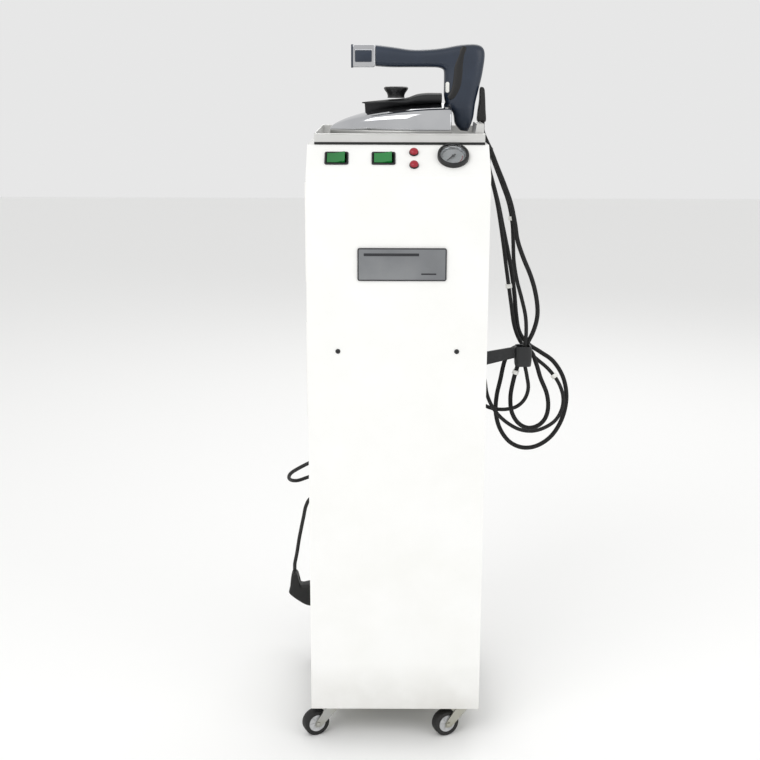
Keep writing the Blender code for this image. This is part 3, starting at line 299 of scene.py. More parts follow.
# CAD nodes that still show, by finish.
NODE_FINISHES: dict[Finish, tuple[str, ...]] = {
    POWDER_COAT: ("front_panel", "left_side_panel", "right_side_panel", "top_plate", "back_cover",
                  "tank_door"),
    ZINC: ("base_pan", "door_hinge", "tank_shelf", *[f"castor_plate_{side}" for side in CASTORS],
           *[f"castor_fork_{side}" for side in CASTORS]),
    BUFFED_STAINLESS: ("tray",), BRUSHED_STAINLESS: ("boiler",),
    BRASS: ("heater", "safety_valve", "steam_valve", "drain_tap"),
    BLACK_ABS: ("pump", "cord_peg", "hose_outlet"), PAINTED_STEEL: ("hose_arm",),
    POLYETHYLENE: ("water_tank",), RED_LENS: ("drain_lever",), WINDOW_GLASS: ("gauge_glass",),
}


# ---- surfaces ------------------------------------------------------------------------------
def arc(count: int, start: float, stop: float) -> Array:
    """Evenly spaced angles, both ends included."""
    return np.linspace(start, stop, count)


def stretches(points: Array, steps: int) -> Array:
    """The Catmull-Rom curve through all points but the first and last, which only give its direction.

    Each stretch is the cubic 0.5 (2 p1 + (p2 - p0) t + (2 p0 - 5 p1 + 4 p2 - p3) t^2
    + (3 p1 - p0 - 3 p2 + p3) t^3).

    Args:
        points: points to pass through, one to a row.
        steps: results on each stretch.

    Returns:
        Points as stretches x steps x columns, without the last stretch's end.
    """
    p0, p1, p2, p3 = points[:-3, None], points[1:-2, None], points[2:-1, None], points[3:, None]
    t = np.linspace(0, 1, steps, endpoint=False)[None, :, None]
    return 0.5 * (2 * p1 + (p2 - p0) * t + (2 * p0 - 5 * p1 + 4 * p2 - p3) * t ** 2
                  + (3 * p1 - p0 - 3 * p2 + p3) * t ** 3)


def walk(line: Array) -> Array:
    """Distance walked along a line of points, up to each of them."""
    return np.r_[0, np.cumsum(np.linalg.norm(np.diff(line, axis=0), axis=1))]


def resample(line: Array, walked: Array, even: Array) -> Array:
    """Points of a line at chosen distances, each column interpolated on its own.

    Args:
        line: the line's points.
        walked: the distance to each of them.
        even: the distances wanted.

    Returns:
        The points at those distances.
    """
    return np.column_stack([np.interp(even, walked, line[:, k]) for k in range(line.shape[1])])


def smooth_path(points: Array, step: float) -> Array:
    """Evenly spaced points on the smooth curve through a route; its end stretches stay straight.

    Args:
        points: the route's own points, one to a row.
        step: distance from one result to the next.

    Returns:
        The points of the curve, one to a row.
    """
    line = np.vstack([points[:1], stretches(points, 16).reshape(-1, points.shape[1]), points[-2:]])
    walked = walk(line)
    return resample(line, walked, np.linspace(0, walked[-1], max(2, round(walked[-1] / step)) + 1))


def smooth_closed(points: Array, count: int) -> Array:
    """Evenly spaced points on the closed smooth curve through the given ones.

    Args:
        points: points to pass through, as rows of two.
        count: how many results.

    Returns:
        The points, without a repeat of the first.
    """
    wrapped = np.vstack([points[-2:], points, points[:3]])
    line = stretches(wrapped, 12)[1:len(points) + 1].reshape(-1, 2)
    line = np.vstack([line, line[:1]])
    walked = walk(line)
    return resample(line, walked, np.linspace(0, walked[-1], count, endpoint=False))


def open_curve(points: Array, count: int) -> Array:
    """Points at an even share of the stretches on the smooth curve through all of the given ones.

    Args:
        points: points to pass through, one to a row.
        count: how many results.

    Returns:
        The points, both ends included.
    """
    p = np.vstack([2 * points[0] - points[1], points, 2 * points[-1] - points[-2]])
    line = np.vstack([stretches(p, 14).reshape(-1, points.shape[1]), points[-1:]])
    return resample(line, np.linspace(0, 1, len(line)), np.linspace(0, 1, count))


@dataclass
class Surface:
    """A closed surface on a grid: rings in order along it, and points round each ring.

    Attributes:
        grid: points, as rings x points x 3.
        loops: whether the last ring joins the first, as on a torus; otherwise the ends are capped.
    """

    grid: Array
    loops: bool = False

    def faces(self) -> tuple[Array, list]:
        """Quads between rings and, on an open row of rings, a fan of triangles at each end.

        Returns:
            The vertices, and the faces as lists of vertex numbers.
        """
        rings, around = self.grid.shape[:2]
        points = self.grid.reshape(-1, 3)
        i = np.arange(rings if self.loops else rings - 1)[:, None]
        j = np.arange(around)[None, :]
        after, beside = (i + 1) % rings, (j + 1) % around
        quads = np.stack([i * around + j, i * around + beside, after * around + beside,
                          after * around + j], axis=-1).reshape(-1, 4)
        if self.loops:
            return points, quads.tolist()
        ends = np.array([self.grid[0].mean(axis=0), self.grid[-1].mean(axis=0)])
        first, last = rings * around, rings * around + 1
        k = np.arange(around)
        near = np.stack([np.full(around, first), (k + 1) % around, k], axis=-1)
        base = (rings - 1) * around
        far = np.stack([np.full(around, last), base + k, base + (k + 1) % around], axis=-1)
        return np.vstack([points, ends]), quads.tolist() + near.tolist() + far.tolist()


def make_piece(name: str, surfaces: list[Surface], finish: Finish, body: str | None,
               replaces: tuple[str, ...] = (), sharp: float = 32.0, braid: bool = False) -> bpy.types.Object:
    """Puts surfaces into one mesh object, faces outward, and lets it ride on a body.

    Args:
        name: the piece's name.
        surfaces: closed surfaces, in world coordinates.
        finish: its finish.
        body: the CAD body it rides on, or None to leave it on no body.
        replaces: CAD nodes that it stands for.
        sharp: edges bent more than this many degrees stay sharp.
        braid: whether it needs a UV map that runs along and round it.

    Returns:
        The new object.
    """
    points, faces, count = [], [], 0
    for surface in surfaces:
        verts, polys = surface.faces()
        fans = np.array([(p[0], p[k], p[k + 1]) for p in polys for k in range(1, len(p) - 1)])
        a, b, c = verts[fans[:, 0]], verts[fans[:, 1]], verts[fans[:, 2]]
        if np.einsum("ij,ij->i", a, np.cross(b, c)).sum() < 0:
            polys = [p[::-1] for p in polys]
        points.append(verts)
        faces += [[k + count for k in p] for p in polys]
        count += len(verts)
    mesh = bpy.data.meshes.new(name)
    mesh.from_pydata(np.vstack(points).tolist(), [], faces)
    if braid:
        write_cord_uv(mesh, surfaces[0].grid)
    mesh.materials.append(finish.material())
    mesh.shade_smooth()
    mesh.set_sharp_from_angle(angle=math.radians(sharp))
    made = bpy.data.objects.new(name, mesh)
    bpy.context.scene.collection.objects.link(made)
    if body is not None:
        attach(made, body)
    if replaces:
        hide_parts(*replaces)
    return made


def write_cord_uv(mesh: bpy.types.Mesh, grid: Array) -> None:
    """UV in metres: V is the distance along the cord and U the distance round it.

    Args:
        mesh: the cord's mesh.
        grid: its rings.
    """
    rings, around = grid.shape[:2]
    middle = grid.mean(axis=1)
    along = walk(middle)
    girth = np.linalg.norm(grid[0] - np.roll(grid[0], 1, axis=0), axis=1).sum()
    loops = np.zeros(len(mesh.loops), dtype=np.int64)
    mesh.loops.foreach_get("vertex_index", loops)
    ring = np.clip(loops // around, 0, rings - 1)
    turn = (loops % around) / around
    starts = np.zeros(len(mesh.polygons), dtype=np.int64)
    totals = np.zeros(len(mesh.polygons), dtype=np.int64)
    mesh.polygons.foreach_get("loop_start", starts)
    mesh.polygons.foreach_get("loop_total", totals)
    owner = np.repeat(np.arange(len(starts)), totals)
    highest = np.maximum.reduceat(turn, starts)[owner]
    turn = np.where((highest > 0.75) & (turn == 0), 1.0, turn)
    layer = mesh.uv_layers.new(name="along_cord")
    layer.data.foreach_set("uv", np.column_stack([turn * girth, along[ring]]).ravel())


def basis(normal: Array, up: Array = np.array([0.0, 0.0, 1.0])) -> Array:
    """Rows right, up and normal of a right-handed set, with up as near as it can be.

    Args:
        normal: the direction that the third row takes.
        up: the direction that the second row comes near to.

    Returns:
        The three rows.
    """
    out = np.asarray(normal, float) / np.linalg.norm(normal)
    right = np.cross(up, out)
    if np.linalg.norm(right) < 1e-6:
        right = np.cross([0.0, 1.0, 0.0], out)
    right = right / np.linalg.norm(right)
    return np.array([right, np.cross(out, right), out])


def rounded_outline(half_x: Array, half_y: Array, radius: Array, per_corner: int) -> Array:
    """Rounded rectangles: each corner is a quarter circle about a centre a radius in from both sides.

    Args:
        half_x: half lengths, one for each outline.
        half_y: half heights.
        radius: corner radii.
        per_corner: points on each corner.

    Returns:
        Points as outlines x points x 2.
    """
    angle = np.concatenate([arc(per_corner, q * math.pi / 2, (q + 1) * math.pi / 2) for q in range(4)])
    sx = np.repeat([1, -1, -1, 1], per_corner)
    sy = np.repeat([1, 1, -1, -1], per_corner)
    hx, hy, r = (np.asarray(v, float)[:, None] for v in (half_x, half_y, radius))
    return np.stack([sx * (hx - r) + r * np.cos(angle), sy * (hy - r) + r * np.sin(angle)], axis=-1)


def stacked(size: tuple[float, float], corner: float, profile: Array, centre: Array, axes: Array,
            per_corner: int = 6, loops: bool = False) -> Surface:
    """Rounded rectangles stacked along the third axis, each inset by the profile's first column.

    Args:
        size: length and height of the full outline.
        corner: its corner radius.
        profile: rows of (inset, height along the third axis), or (inset along, inset up, height).
        centre: where the middle of the outline's plane lies.
        axes: rows right, up and out.
        per_corner: points on each corner.
        loops: whether the profile closes on itself, which makes a frame.

    Returns:
        The surface.
    """
    rows = np.asarray(profile, float)
    inset, inset_up, height = rows[:, 0], rows[:, -2], rows[:, -1]
    flat = rounded_outline(size[0] / 2 - inset, size[1] / 2 - inset_up,
                           np.maximum(corner - np.maximum(inset, inset_up), 0.0004), per_corner)
    grid = centre + flat[..., :1] * axes[0] + flat[..., 1:] * axes[1] + height[:, None, None] * axes[2]
    return Surface(grid, loops)


def slab_profile(thickness: float, edge: float, low: float = 0.0, steps: int = 4) -> Array:
    """Profile of a slab with both edges rounded: quarter circles from face to side to face.

    Args:
        thickness: its thickness.
        edge: radius of both edges.
        low: height of its underside.
        steps: points on each quarter circle.

    Returns:
        Rows of (inset, height).
    """
    a = arc(steps, 0, math.pi / 2)
    bottom = np.column_stack([edge * (1 - np.sin(a)), low + edge * (1 - np.cos(a))])
    top = np.column_stack([edge * (1 - np.cos(a)), low + thickness - edge * (1 - np.sin(a))])
    return np.vstack([bottom, top])


def slab_disc(radius: float, low: float, thickness: float) -> Array:
    """Profile of a flat disc with small rounded rims.

    Args:
        radius: its radius.
        low: height of its underside.
        thickness: its thickness.

    Returns:
        Rows of (radius, height).
    """
    edge = thickness * 0.3
    return np.array([(radius - edge, low), (radius, low + edge), (radius, low + thickness - edge),
                     (radius - edge, low + thickness)])


def moulded(outline: Array, half: float, edge: float, place: Array, axes: Array, steps: int = 6) -> Surface:
    """A flat outline carried both ways along the third axis, with its two rims rounded.

    Each ring is the outline drawn towards its own middle by the inset of a slab's profile.

    Args:
        outline: points round it, as (first axis, second axis).
        half: half its thickness.
        edge: radius of the rims.
        place: where the outline's zero lies.
        axes: rows of the first, second and third axis.
        steps: rings on each rim.

    Returns:
        The surface.
    """
    inset, height = slab_profile(2 * half, edge, -half, steps).T
    middle = outline.mean(axis=0)
    reach = np.linalg.norm(outline - middle, axis=1)[None, :, None]
    flat = middle + (outline - middle)[None] * np.clip(1 - inset[:, None, None] / reach, 0.05, 1.0)
    grid = place + flat[..., :1] * axes[0] + flat[..., 1:] * axes[1] + height[:, None, None] * axes[2]
    return Surface(grid)


def turned(profile: Array, centre: Array, axes: Array, steps: int = 48, loops: bool = False) -> Surface:
    """A solid of revolution about the third axis: each (radius, height) becomes a circle.

    Args:
        profile: rows of (radius, height).
        centre: a point on the axis, at height 0.
        axes: rows right, up and out.
        steps: points round each circle.
        loops: whether the profile closes on itself.

    Returns:
        The surface.
    """
    r, h = np.asarray(profile, float).T
    a = np.linspace(0, 2 * math.pi, steps, endpoint=False)
    grid = (centre + (r[:, None] * np.cos(a))[..., None] * axes[0]
            + (r[:, None] * np.sin(a))[..., None] * axes[1] + h[:, None, None] * axes[2])
    return Surface(grid, loops)


def tube(path: Array, radius: float | Array, sides: int = 16, loops: bool = False) -> Surface:
    """A round tube: a circle carried along the path in a frame that turns as little as it can.

    Args:
        path: points along its middle.
        radius: one radius, or one for each point.
        sides: points round it.
        loops: whether the path closes on itself.

    Returns:
        The surface.
    """
    ahead = np.gradient(path, axis=0)
    if loops:
        ahead = np.roll(path, -1, axis=0) - np.roll(path, 1, axis=0)
    ahead /= np.linalg.norm(ahead, axis=1)[:, None]
    side = np.zeros_like(path)
    start = np.cross(ahead[0], [0.0, 0.31, 0.95])
    side[0] = start / np.linalg.norm(start)
    for k in range(1, len(path)):
        leaned = side[k - 1] - ahead[k] * (side[k - 1] @ ahead[k])
        side[k] = leaned / np.linalg.norm(leaned)
    other = np.cross(ahead, side)
    a = np.linspace(0, 2 * math.pi, sides, endpoint=False)
    r = np.broadcast_to(radius, len(path))[:, None, None]
    grid = path[:, None] + r * (np.cos(a)[:, None] * side[:, None] + np.sin(a)[:, None] * other[:, None])
    return Surface(grid, loops)


def squircle(count: int, power: float) -> Array:
    """Unit points (sign(cos) |cos|^p, sign(sin) |sin|^p) round a softened square.

    Args:
        count: how many points.
        power: p, where 1 gives a circle and less comes nearer to a square.

    Returns:
        Rows of two.
    """
    a = 2 * math.pi * (np.arange(count) + 0.5) / count
    c, s = np.cos(a), np.sin(a)
    return np.column_stack([np.sign(c) * np.abs(c) ** power, np.sign(s) * np.abs(s) ** power])


def box_of(*nodes: str) -> tuple[Array, Array]:
    """Lowest and highest corner of one or more CAD nodes."""
    boxes = np.array([[list(corner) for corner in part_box(node)] for node in nodes])
    return boxes[:, 0].min(axis=0), boxes[:, 1].max(axis=0)


LOW, HIGH = box_of("front_panel", "back_cover")
ORIGIN = np.array([(LOW[0] + HIGH[0]) / 2, (LOW[1] + HIGH[1]) / 2, 0.0])
FRONT = LOW[1]
STRIP_TILT = math.radians(50)
FOLD = np.array([ORIGIN[0], FRONT, HIGH[2] - STRIP_RISE])
STRIP = np.array([[1.0, 0.0, 0.0], [0.0, math.sin(STRIP_TILT), math.cos(STRIP_TILT)],
                  [0.0, -math.cos(STRIP_TILT), math.sin(STRIP_TILT)]])


def on_strip(x: float, up: float) -> Array:
    """A place on the control strip, from the cabinet's middle and the fold."""
    return FOLD + x * STRIP[0] + up * STRIP[1]


# ---- cords ---------------------------------------------------------------------------------
# Routes in the cabinet's own frame, the same points as the solid model's.
HOSE_ROUTE = np.array([
    (0.128, -0.006, 0.9437), (0.128, -0.006, 0.931), (0.133, -0.006, 0.918), (0.1415, -0.006, 0.901),
    (0.152, -0.006, 0.876), (0.164, -0.006, 0.848), (0.1745, -0.006, 0.82), (0.1815, -0.006, 0.79),
    (0.1862, -0.006, 0.764), (0.196, -0.0055, 0.737), (0.2082, -0.0045, 0.709), (0.2165, -0.0025, 0.683),
    (0.2212, 0.0, 0.656), (0.2205, 0.0025, 0.636), (0.215, 0.004, 0.616), (0.206, 0.0045, 0.597),
    (0.1985, 0.005, 0.579), (0.1925, 0.0062, 0.56), (0.1872, 0.008, 0.537), (0.1838, 0.01, 0.511),
    (0.1865, 0.0115, 0.486), (0.197, 0.0125, 0.4675), (0.213, 0.0135, 0.4585), (0.23, 0.0145, 0.462),
    (0.2415, 0.0155, 0.4745), (0.2455, 0.0165, 0.493), (0.2425, 0.0182, 0.515), (0.232, 0.02, 0.54),
    (0.225, 0.0213, 0.562), (0.216, 0.022, 0.582), (0.199, 0.0223, 0.591), (0.1815, 0.0226, 0.583),
    (0.1735, 0.023, 0.564), (0.1685, 0.0238, 0.537), (0.163, 0.0246, 0.508), (0.1625, 0.0253, 0.48),
    (0.17, 0.0262, 0.453), (0.186, 0.0271, 0.431), (0.208, 0.028, 0.4208), (0.232, 0.029, 0.424),
    (0.255, 0.03, 0.441), (0.271, 0.0313, 0.47), (0.2768, 0.033, 0.504), (0.2705, 0.035, 0.537),
    (0.254, 0.0372, 0.563), (0.233, 0.039, 0.578), (0.213, 0.0398, 0.591), (0.1985, 0.0403, 0.61),
    (0.1925, 0.0408, 0.638), (0.1885, 0.0416, 0.674), (0.183, 0.0426, 0.71), (0.1755, 0.0442, 0.745),
    (0.168, 0.046, 0.778), (0.16, 0.0483, 0.814), (0.1505, 0.051, 0.848), (0.1425, 0.053, 0.876),
    (0.1425, 0.053, 0.8897)])
CABLE_ROUTE = np.array([
    (0.128, 0.006, 0.9437), (0.128, 0.006, 0.931), (0.1325, 0.006, 0.918), (0.1405, 0.006, 0.901),
    (0.1505, 0.006, 0.876), (0.1618, 0.006, 0.848), (0.1722, 0.0062, 0.82), (0.1785, 0.0064, 0.79),
    (0.1808, 0.0062, 0.76), (0.1826, 0.005, 0.73), (0.188, 0.002, 0.7), (0.1958, -0.0015, 0.672),
    (0.2022, -0.004, 0.645), (0.204, -0.0052, 0.618), (0.2022, -0.0055, 0.595), (0.2025, -0.0055, 0.572),
    (0.207, -0.0055, 0.55), (0.21, -0.005, 0.529), (0.205, -0.004, 0.511), (0.193, -0.003, 0.4985),
    (0.177, -0.0015, 0.4935), (0.16, 0.001, 0.493), (0.146, 0.0075, 0.4955), (0.1385, 0.0175, 0.4995),
    (0.1367, 0.0295, 0.5055), (0.1362, 0.0385, 0.515), (0.1363, 0.0418, 0.528), (0.137, 0.038, 0.5415),
    (0.1378, 0.028, 0.551), (0.1386, 0.0145, 0.5545), (0.1396, 0.001, 0.5505), (0.1412, -0.0085, 0.539),
    (0.1445, -0.0135, 0.52), (0.153, -0.0145, 0.501), (0.165, -0.013, 0.485), (0.181, -0.012, 0.4715),
    (0.199, -0.01, 0.462), (0.22, -0.0065, 0.459), (0.24, -0.002, 0.464), (0.257, 0.0035, 0.475),
    (0.267, 0.009, 0.493), (0.268, 0.014, 0.513), (0.26, 0.019, 0.534), (0.245, 0.0245, 0.553),
    (0.227, 0.029, 0.568), (0.211, 0.0308, 0.582), (0.1975, 0.0315, 0.6), (0.1885, 0.0318, 0.624),
    (0.1835, 0.032, 0.654), (0.1785, 0.0325, 0.686), (0.1735, 0.0333, 0.718), (0.1685, 0.0344, 0.752),
    (0.163, 0.0356, 0.786), (0.157, 0.0368, 0.818), (0.1495, 0.038, 0.848), (0.1425, 0.039, 0.876),
    (0.1425, 0.039, 0.8897)])
MAINS_START = np.array([
    (-0.06, 0.1825, 0.118), (-0.06, 0.195, 0.118), (-0.06, 0.2085, 0.1205), (-0.0603, 0.219, 0.1295),
    (-0.061, 0.2245, 0.143), (-0.0625, 0.225, 0.164), (-0.0645, 0.2225, 0.198), (-0.0685, 0.218, 0.234),
    (-0.0745, 0.217, 0.268), (-0.085, 0.2165, 0.295), (-0.1, 0.2165, 0.311), (-0.119, 0.2175, 0.316),
    (-0.138, 0.2185, 0.3115), (-0.156, 0.218, 0.305), (-0.171, 0.214, 0.301), (-0.182, 0.204, 0.3045),
    (-0.186, 0.191, 0.314), (-0.181, 0.18, 0.326), (-0.165, 0.1745, 0.338), (-0.142, 0.1745, 0.35),
    (-0.113, 0.18, 0.3625), (-0.093, 0.184, 0.3695)])
MAINS_TAIL = np.array([
    (-0.07, 0.186, 0.2765), (-0.087, 0.1855, 0.2795), (-0.105, 0.183, 0.286), (-0.122, 0.1805, 0.289),
    (-0.137, 0.179, 0.286), (-0.149, 0.1785, 0.278), (-0.156, 0.179, 0.264), (-0.16, 0.181, 0.245),
    (-0.1645, 0.1835, 0.223), (-0.169, 0.1865, 0.2), (-0.1735, 0.189, 0.172), (-0.1778, 0.19, 0.15),
    (-0.178, 0.19, 0.1361)])


@dataclass
class IronCords:
    """The steam hose and the iron's cable: from the iron down into the cuff, loops, and up to the outlet.

    Each is two pieces that meet inside the cuff.  The upper run is left on no body, and the loops stay with
    the cabinet.
    """

    hose: float = 0.0070
    cable: float = 0.0060
    step: float = 0.0030
    sides: int = 20
    lift_start: float = 0.76
    cuff_size: tuple = (0.0270, 0.0260)
    cuff_corner: float = 0.0075
    cuff_bulge: float = 0.0013
    cuff_wall: float = 0.0031
    peg_r: float = 0.0045
    peg_flare: float = 0.0006
    tie_wall: tuple = (0.0002, 0.0018)
    tie_half: float = 0.0034
    tie_places: tuple = ((0.171, 0.798), (0.180, 0.687), (0.184, 0.552), (0.259, 0.544))

    def split(self, route: Array) -> tuple[Array, Array]:
        """The path of a route in world coordinates, cut where it first reaches the cuff's middle.

        Args:
            route: the route in the cabinet's frame.

        Returns:
            The run down to the cuff, and the loops after it.
        """
        path = smooth_path(route, self.step) + ORIGIN
        low, high = box_of("hose_cuff")
        cut = int(np.argmax(path[:, 2] < (low[2] + high[2]) / 2))
        return path[:cut + 1], path[cut:]

    def build(self) -> None:
        paths = []
        for name, route, width in (("steam_hose", HOSE_ROUTE, self.hose),
                                   ("iron_cable", CABLE_ROUTE, self.cable)):
            run, loops = self.split(route)
            upper = make_piece(f"{name}_run", [tube(run, width / 2, self.sides)], HOSE_BRAID, None,
                               (name,), braid=True)
            lower = make_piece(f"{name}_loops", [tube(loops, width / 2, self.sides)], HOSE_BRAID,
                               "root", braid=True)
            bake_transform(upper)
            paths += [run, loops]
        self.tie(np.vstack(paths))
        self.build_cuff()

    def build_cuff(self) -> None:
        """A soft band round the bundle: its wall bulges by 1.3 mm sin(pi v)^0.6 between its two rims."""
        low, high = box_of("hose_cuff")
        (wide, deep), tall, bulge = self.cuff_size, high[2] - low[2], self.cuff_bulge
        v = np.linspace(0, 1, 13)
        outer = np.column_stack([bulge - bulge * np.sin(math.pi * v) ** 0.6, (v - 0.5) * tall])
        inner = np.column_stack([np.full(5, self.cuff_wall), np.linspace(0.5, -0.5, 5) * (tall - 0.0012)])
        centre = np.array([high[0] - wide / 2, low[1] + deep / 2, (low[2] + high[2]) / 2])
        band = stacked(self.cuff_size, self.cuff_corner, np.vstack([outer, inner]), centre, UPWARD, 8,
                       loops=True)
        a = arc(8, 0, math.pi / 2)
        r, length = self.peg_r, high[1] - centre[1]
        head = r + self.peg_flare
        tip = np.column_stack([head * np.cos(a), length - 0.0040 + 0.0040 * np.sin(a)])[:-1]
        peg = np.vstack([[(r, 0.0120), (r, length - 0.0058), (head, length - 0.0050)], tip,
                         [(0.0002, length)]])
        place = np.array([centre[0] - 0.0020, centre[1], centre[2] - 0.0010])
        make_piece("hose_cuff_band", [band, turned(peg, place, REARWARD, 28)], PAINTED_STEEL,
                   "root", ("hose_cuff",))

    def tie(self, strands: Array) -> None:
        """A flat nylon band round the strand that is nearest to each chosen place.

        Args:
            strands: points of every hanging strand, in order along each.
        """
        bands = []
        for x, z in self.tie_places:
            gap = np.abs(strands[:, 0] - ORIGIN[0] - x) + np.abs(strands[:, 2] - z)
            k = int(np.clip(gap.argmin(), 1, len(strands) - 2))
            axes = basis(strands[k + 1] - strands[k - 1])
            (inner, outer), half = [self.hose / 2 + v for v in self.tie_wall], self.tie_half
            ring = [(inner, -half), (outer, -half + 0.0004), (outer, half - 0.0004), (inner, half)]
            bands.append(turned(ring, strands[k], axes, 28, loops=True))
        make_piece("cord_ties", bands, TIE_NYLON, "root")


@dataclass
class MainsLead:
    """The mains lead: out of its gland, over to the left, wound on its holder, and down to its plug."""

    width: float = 0.0065
    turns_from: float = math.radians(100)
    turns_to: float = math.radians(-85 - 3 * 360)
    spacing: float = 0.0034
    per_turn: int = 18
    step: float = 0.0030
    coil_margin: float = 0.0075
    sides: int = 16
    plug_pins: tuple = (-0.0095, 0.0095)
    pin: tuple = ((0.0024, 0.0), (0.0024, 0.0178), (0.0019, 0.0192), (0.0010, 0.0198))
    pin_root: tuple = (0.0430, 0.0202)

    def coil(self) -> Array:
        """Points of the winding: a circle whose turns step round the corners of a square bundle.

        Turn number n lies at corner n of the square (radius and depth each plus or minus the
        spacing), and moves to the next corner in a smooth step over a quarter of a turn.

        Returns:
            The points, one to a row.
        """
        low, high = box_of("mains_coil")
        centre = (low + high) / 2
        middle = (high[0] - low[0]) / 2 - self.coil_margin
        count = int((self.turns_from - self.turns_to) / (2 * math.pi) * self.per_turn)
        angle = np.linspace(self.turns_from, self.turns_to, count)
        turn = (self.turns_from - angle) / (2 * math.pi)
        corners = self.spacing * np.array([(1, -1), (-1, -1), (-1, 1), (1, 1), (1, 1)])
        whole = np.clip(turn.astype(int), 0, 3)
        t = np.clip((turn - whole - 0.75) * 4, 0, 1)[:, None]
        place = corners[whole] + (corners[np.minimum(whole + 1, 4)] - corners[whole]) * t * t * (3 - 2 * t)
        r = middle + place[:, 0]
        return np.column_stack([centre[0] + r * np.cos(angle), centre[1] + place[:, 1],
                                centre[2] + r * np.sin(angle)])

    def build(self) -> None:
        """Makes the lead in one piece, its gland's tapered relief and its plug."""
        route = np.vstack([MAINS_START[:-1] + ORIGIN, self.coil(), MAINS_TAIL[1:] + ORIGIN])
        path = smooth_path(route, self.step)
        lead = make_piece("mains_lead", [tube(path, self.width / 2, self.sides)], VINYL_SHEATH,
                          "root", ("mains_lead_start", "mains_coil", "mains_lead_tail"))
        self.build_gland(path[0])
        plug = self.build_plug()

    def build_gland(self, mouth: Array) -> None:
        """Tapered, ribbed strain relief on a flange.

        Args:
            mouth: where the lead starts.
        """
        low, high = box_of("cord_gland")
        length = high[1] - low[1]
        ribs = np.linspace(0, 1, 40)
        radius = 0.0088 - 0.0034 * ribs - 0.0006 * (np.sin(ribs * 9 * math.pi) > 0.35)
        cone = np.column_stack([radius, 0.0045 + ribs * (length - 0.0045)])
        profile = np.vstack([[(0.0108, 0.0), (0.0120, 0.0008), (0.0120, 0.0032), (0.0110, 0.0042)], cone])
        axes = basis(np.array([0.0, 1.0, 0.0]))
        make_piece("cord_gland_relief", [turned(profile, np.array([mouth[0], low[1], mouth[2]]), axes, 32)],
                   BLACK_ABS, "root", ("cord_gland",))

    def build_plug(self) -> bpy.types.Object:
        """Right-angle plug: a rounded body with a neck for the lead and two pins.

        Returns:
            The plug's object.
        """
        low, high = box_of("mains_plug")
        x, y, z = np.array([low[0], (low[1] + high[1]) / 2, low[2]])
        # Side view from the neck round the grip to the pin face, as (x, z) from the box's low corner.
        outline = smooth_closed(np.array([
            (0.0050, 0.0600), (0.0145, 0.0600), (0.0168, 0.0440), (0.0235, 0.0385), (0.0435, 0.0380),
            (0.0440, 0.0030), (0.0290, 0.0005), (0.0010, 0.0205), (0.0012, 0.0330)]), 72)
        sideways = np.array([[1.0, 0.0, 0.0], [0.0, 0.0, 1.0], [0.0, 1.0, 0.0]])
        parts = [moulded(outline, (high[1] - low[1]) / 2, 0.0045, np.array([x, y, z]), sideways)]
        axes = basis(np.array([1.0, 0.0, 0.0]))
        for offset in self.plug_pins:
            root = np.array([x + self.pin_root[0], y + offset, z + self.pin_root[1]])
            parts.append(turned(self.pin, root, axes, 20))
        return make_piece("mains_plug_body", parts, VINYL_SHEATH, "root", ("mains_plug",))


# ---- camera, light and floor ---------------------------------------------------------------
@dataclass
class Studio:
    """A pale floor, a large soft key, a fill, and a camera a little above the tray, looking down."""

    eye: tuple = (-0.0249, -1.9606, 1.0296)
    pitch: float = math.radians(14.01)
    roll: float = math.radians(0.16)
    lens: float = 60.35
    lamps: tuple = (("key", (-1.3, -2.0, 2.3), 1.8, 26.0), ("fill", (1.8, -1.5, 1.5), 1.4, 7.0),
                    ("back", (0.6, 2.0, 2.4), 2.0, 16.0))
    aim: tuple = (0, 0, 0.6)
    daylight: float = 0.80
    floor_half: float = 8.0

    def build(self) -> None:
        """Sets the camera, the lights, the world and the floor."""
        camera = bpy.data.cameras.new("camera")
        camera.lens = self.lens
        camera.sensor_width = 36.0
        seat = bpy.data.objects.new("camera", camera)
        bpy.context.scene.collection.objects.link(seat)
        turn = Matrix.Rotation(math.pi / 2 - self.pitch, 4, "X") @ Matrix.Rotation(self.roll, 4, "Z")
        seat.matrix_world = Matrix.Translation(Vector(ORIGIN) + Vector(self.eye)) @ turn
        bpy.context.scene.camera = seat
        for lamp in self.lamps:
            self.light(*lamp)
        world = bpy.data.worlds.new("studio")
        world.use_nodes = True
        backdrop = world.node_tree.nodes["Background"].inputs
        backdrop["Color"].default_value = (1.0, 1.0, 1.0, 1.0)
        backdrop["Strength"].default_value = self.daylight
        bpy.context.scene.world = world
        bpy.context.scene.view_settings.view_transform = "Standard"
        self.floor()

    def light(self, name: str, place: tuple, size: float, power: float) -> None:
        """One square area light, aimed at the middle of the cabinet.

        Args:
            name: its name.
            place: where it stands.
            size: length of its side.
            power: in watts.
        """
        lamp = bpy.data.lights.new(name, "AREA")
        lamp.size = size
        lamp.energy = power
        seat = bpy.data.objects.new(name, lamp)
        bpy.context.scene.collection.objects.link(seat)
        seat.location = place
        seat.rotation_euler = (Vector(self.aim) - Vector(place)).to_track_quat("-Z", "Y").to_euler()

    def floor(self) -> None:
        """A wide pale floor."""
        mesh = bpy.data.meshes.new("studio_floor")
        corners = self.floor_half * np.array([(-1, -1, 0), (1, -1, 0), (1, 1, 0), (-1, 1, 0)], float)
        mesh.from_pydata(corners.tolist(), [], [(0, 1, 2, 3)])
        mat = bpy.data.materials.new("pale_floor")
        mat.use_nodes = True
        shader = mat.node_tree.nodes["Principled BSDF"].inputs
        shader["Base Color"].default_value = linear("F7F7F6")
        shader["Roughness"].default_value = 0.7
        mesh.materials.append(mat)
        plane = bpy.data.objects.new("studio_floor", mesh)
        bpy.context.scene.collection.objects.link(plane)


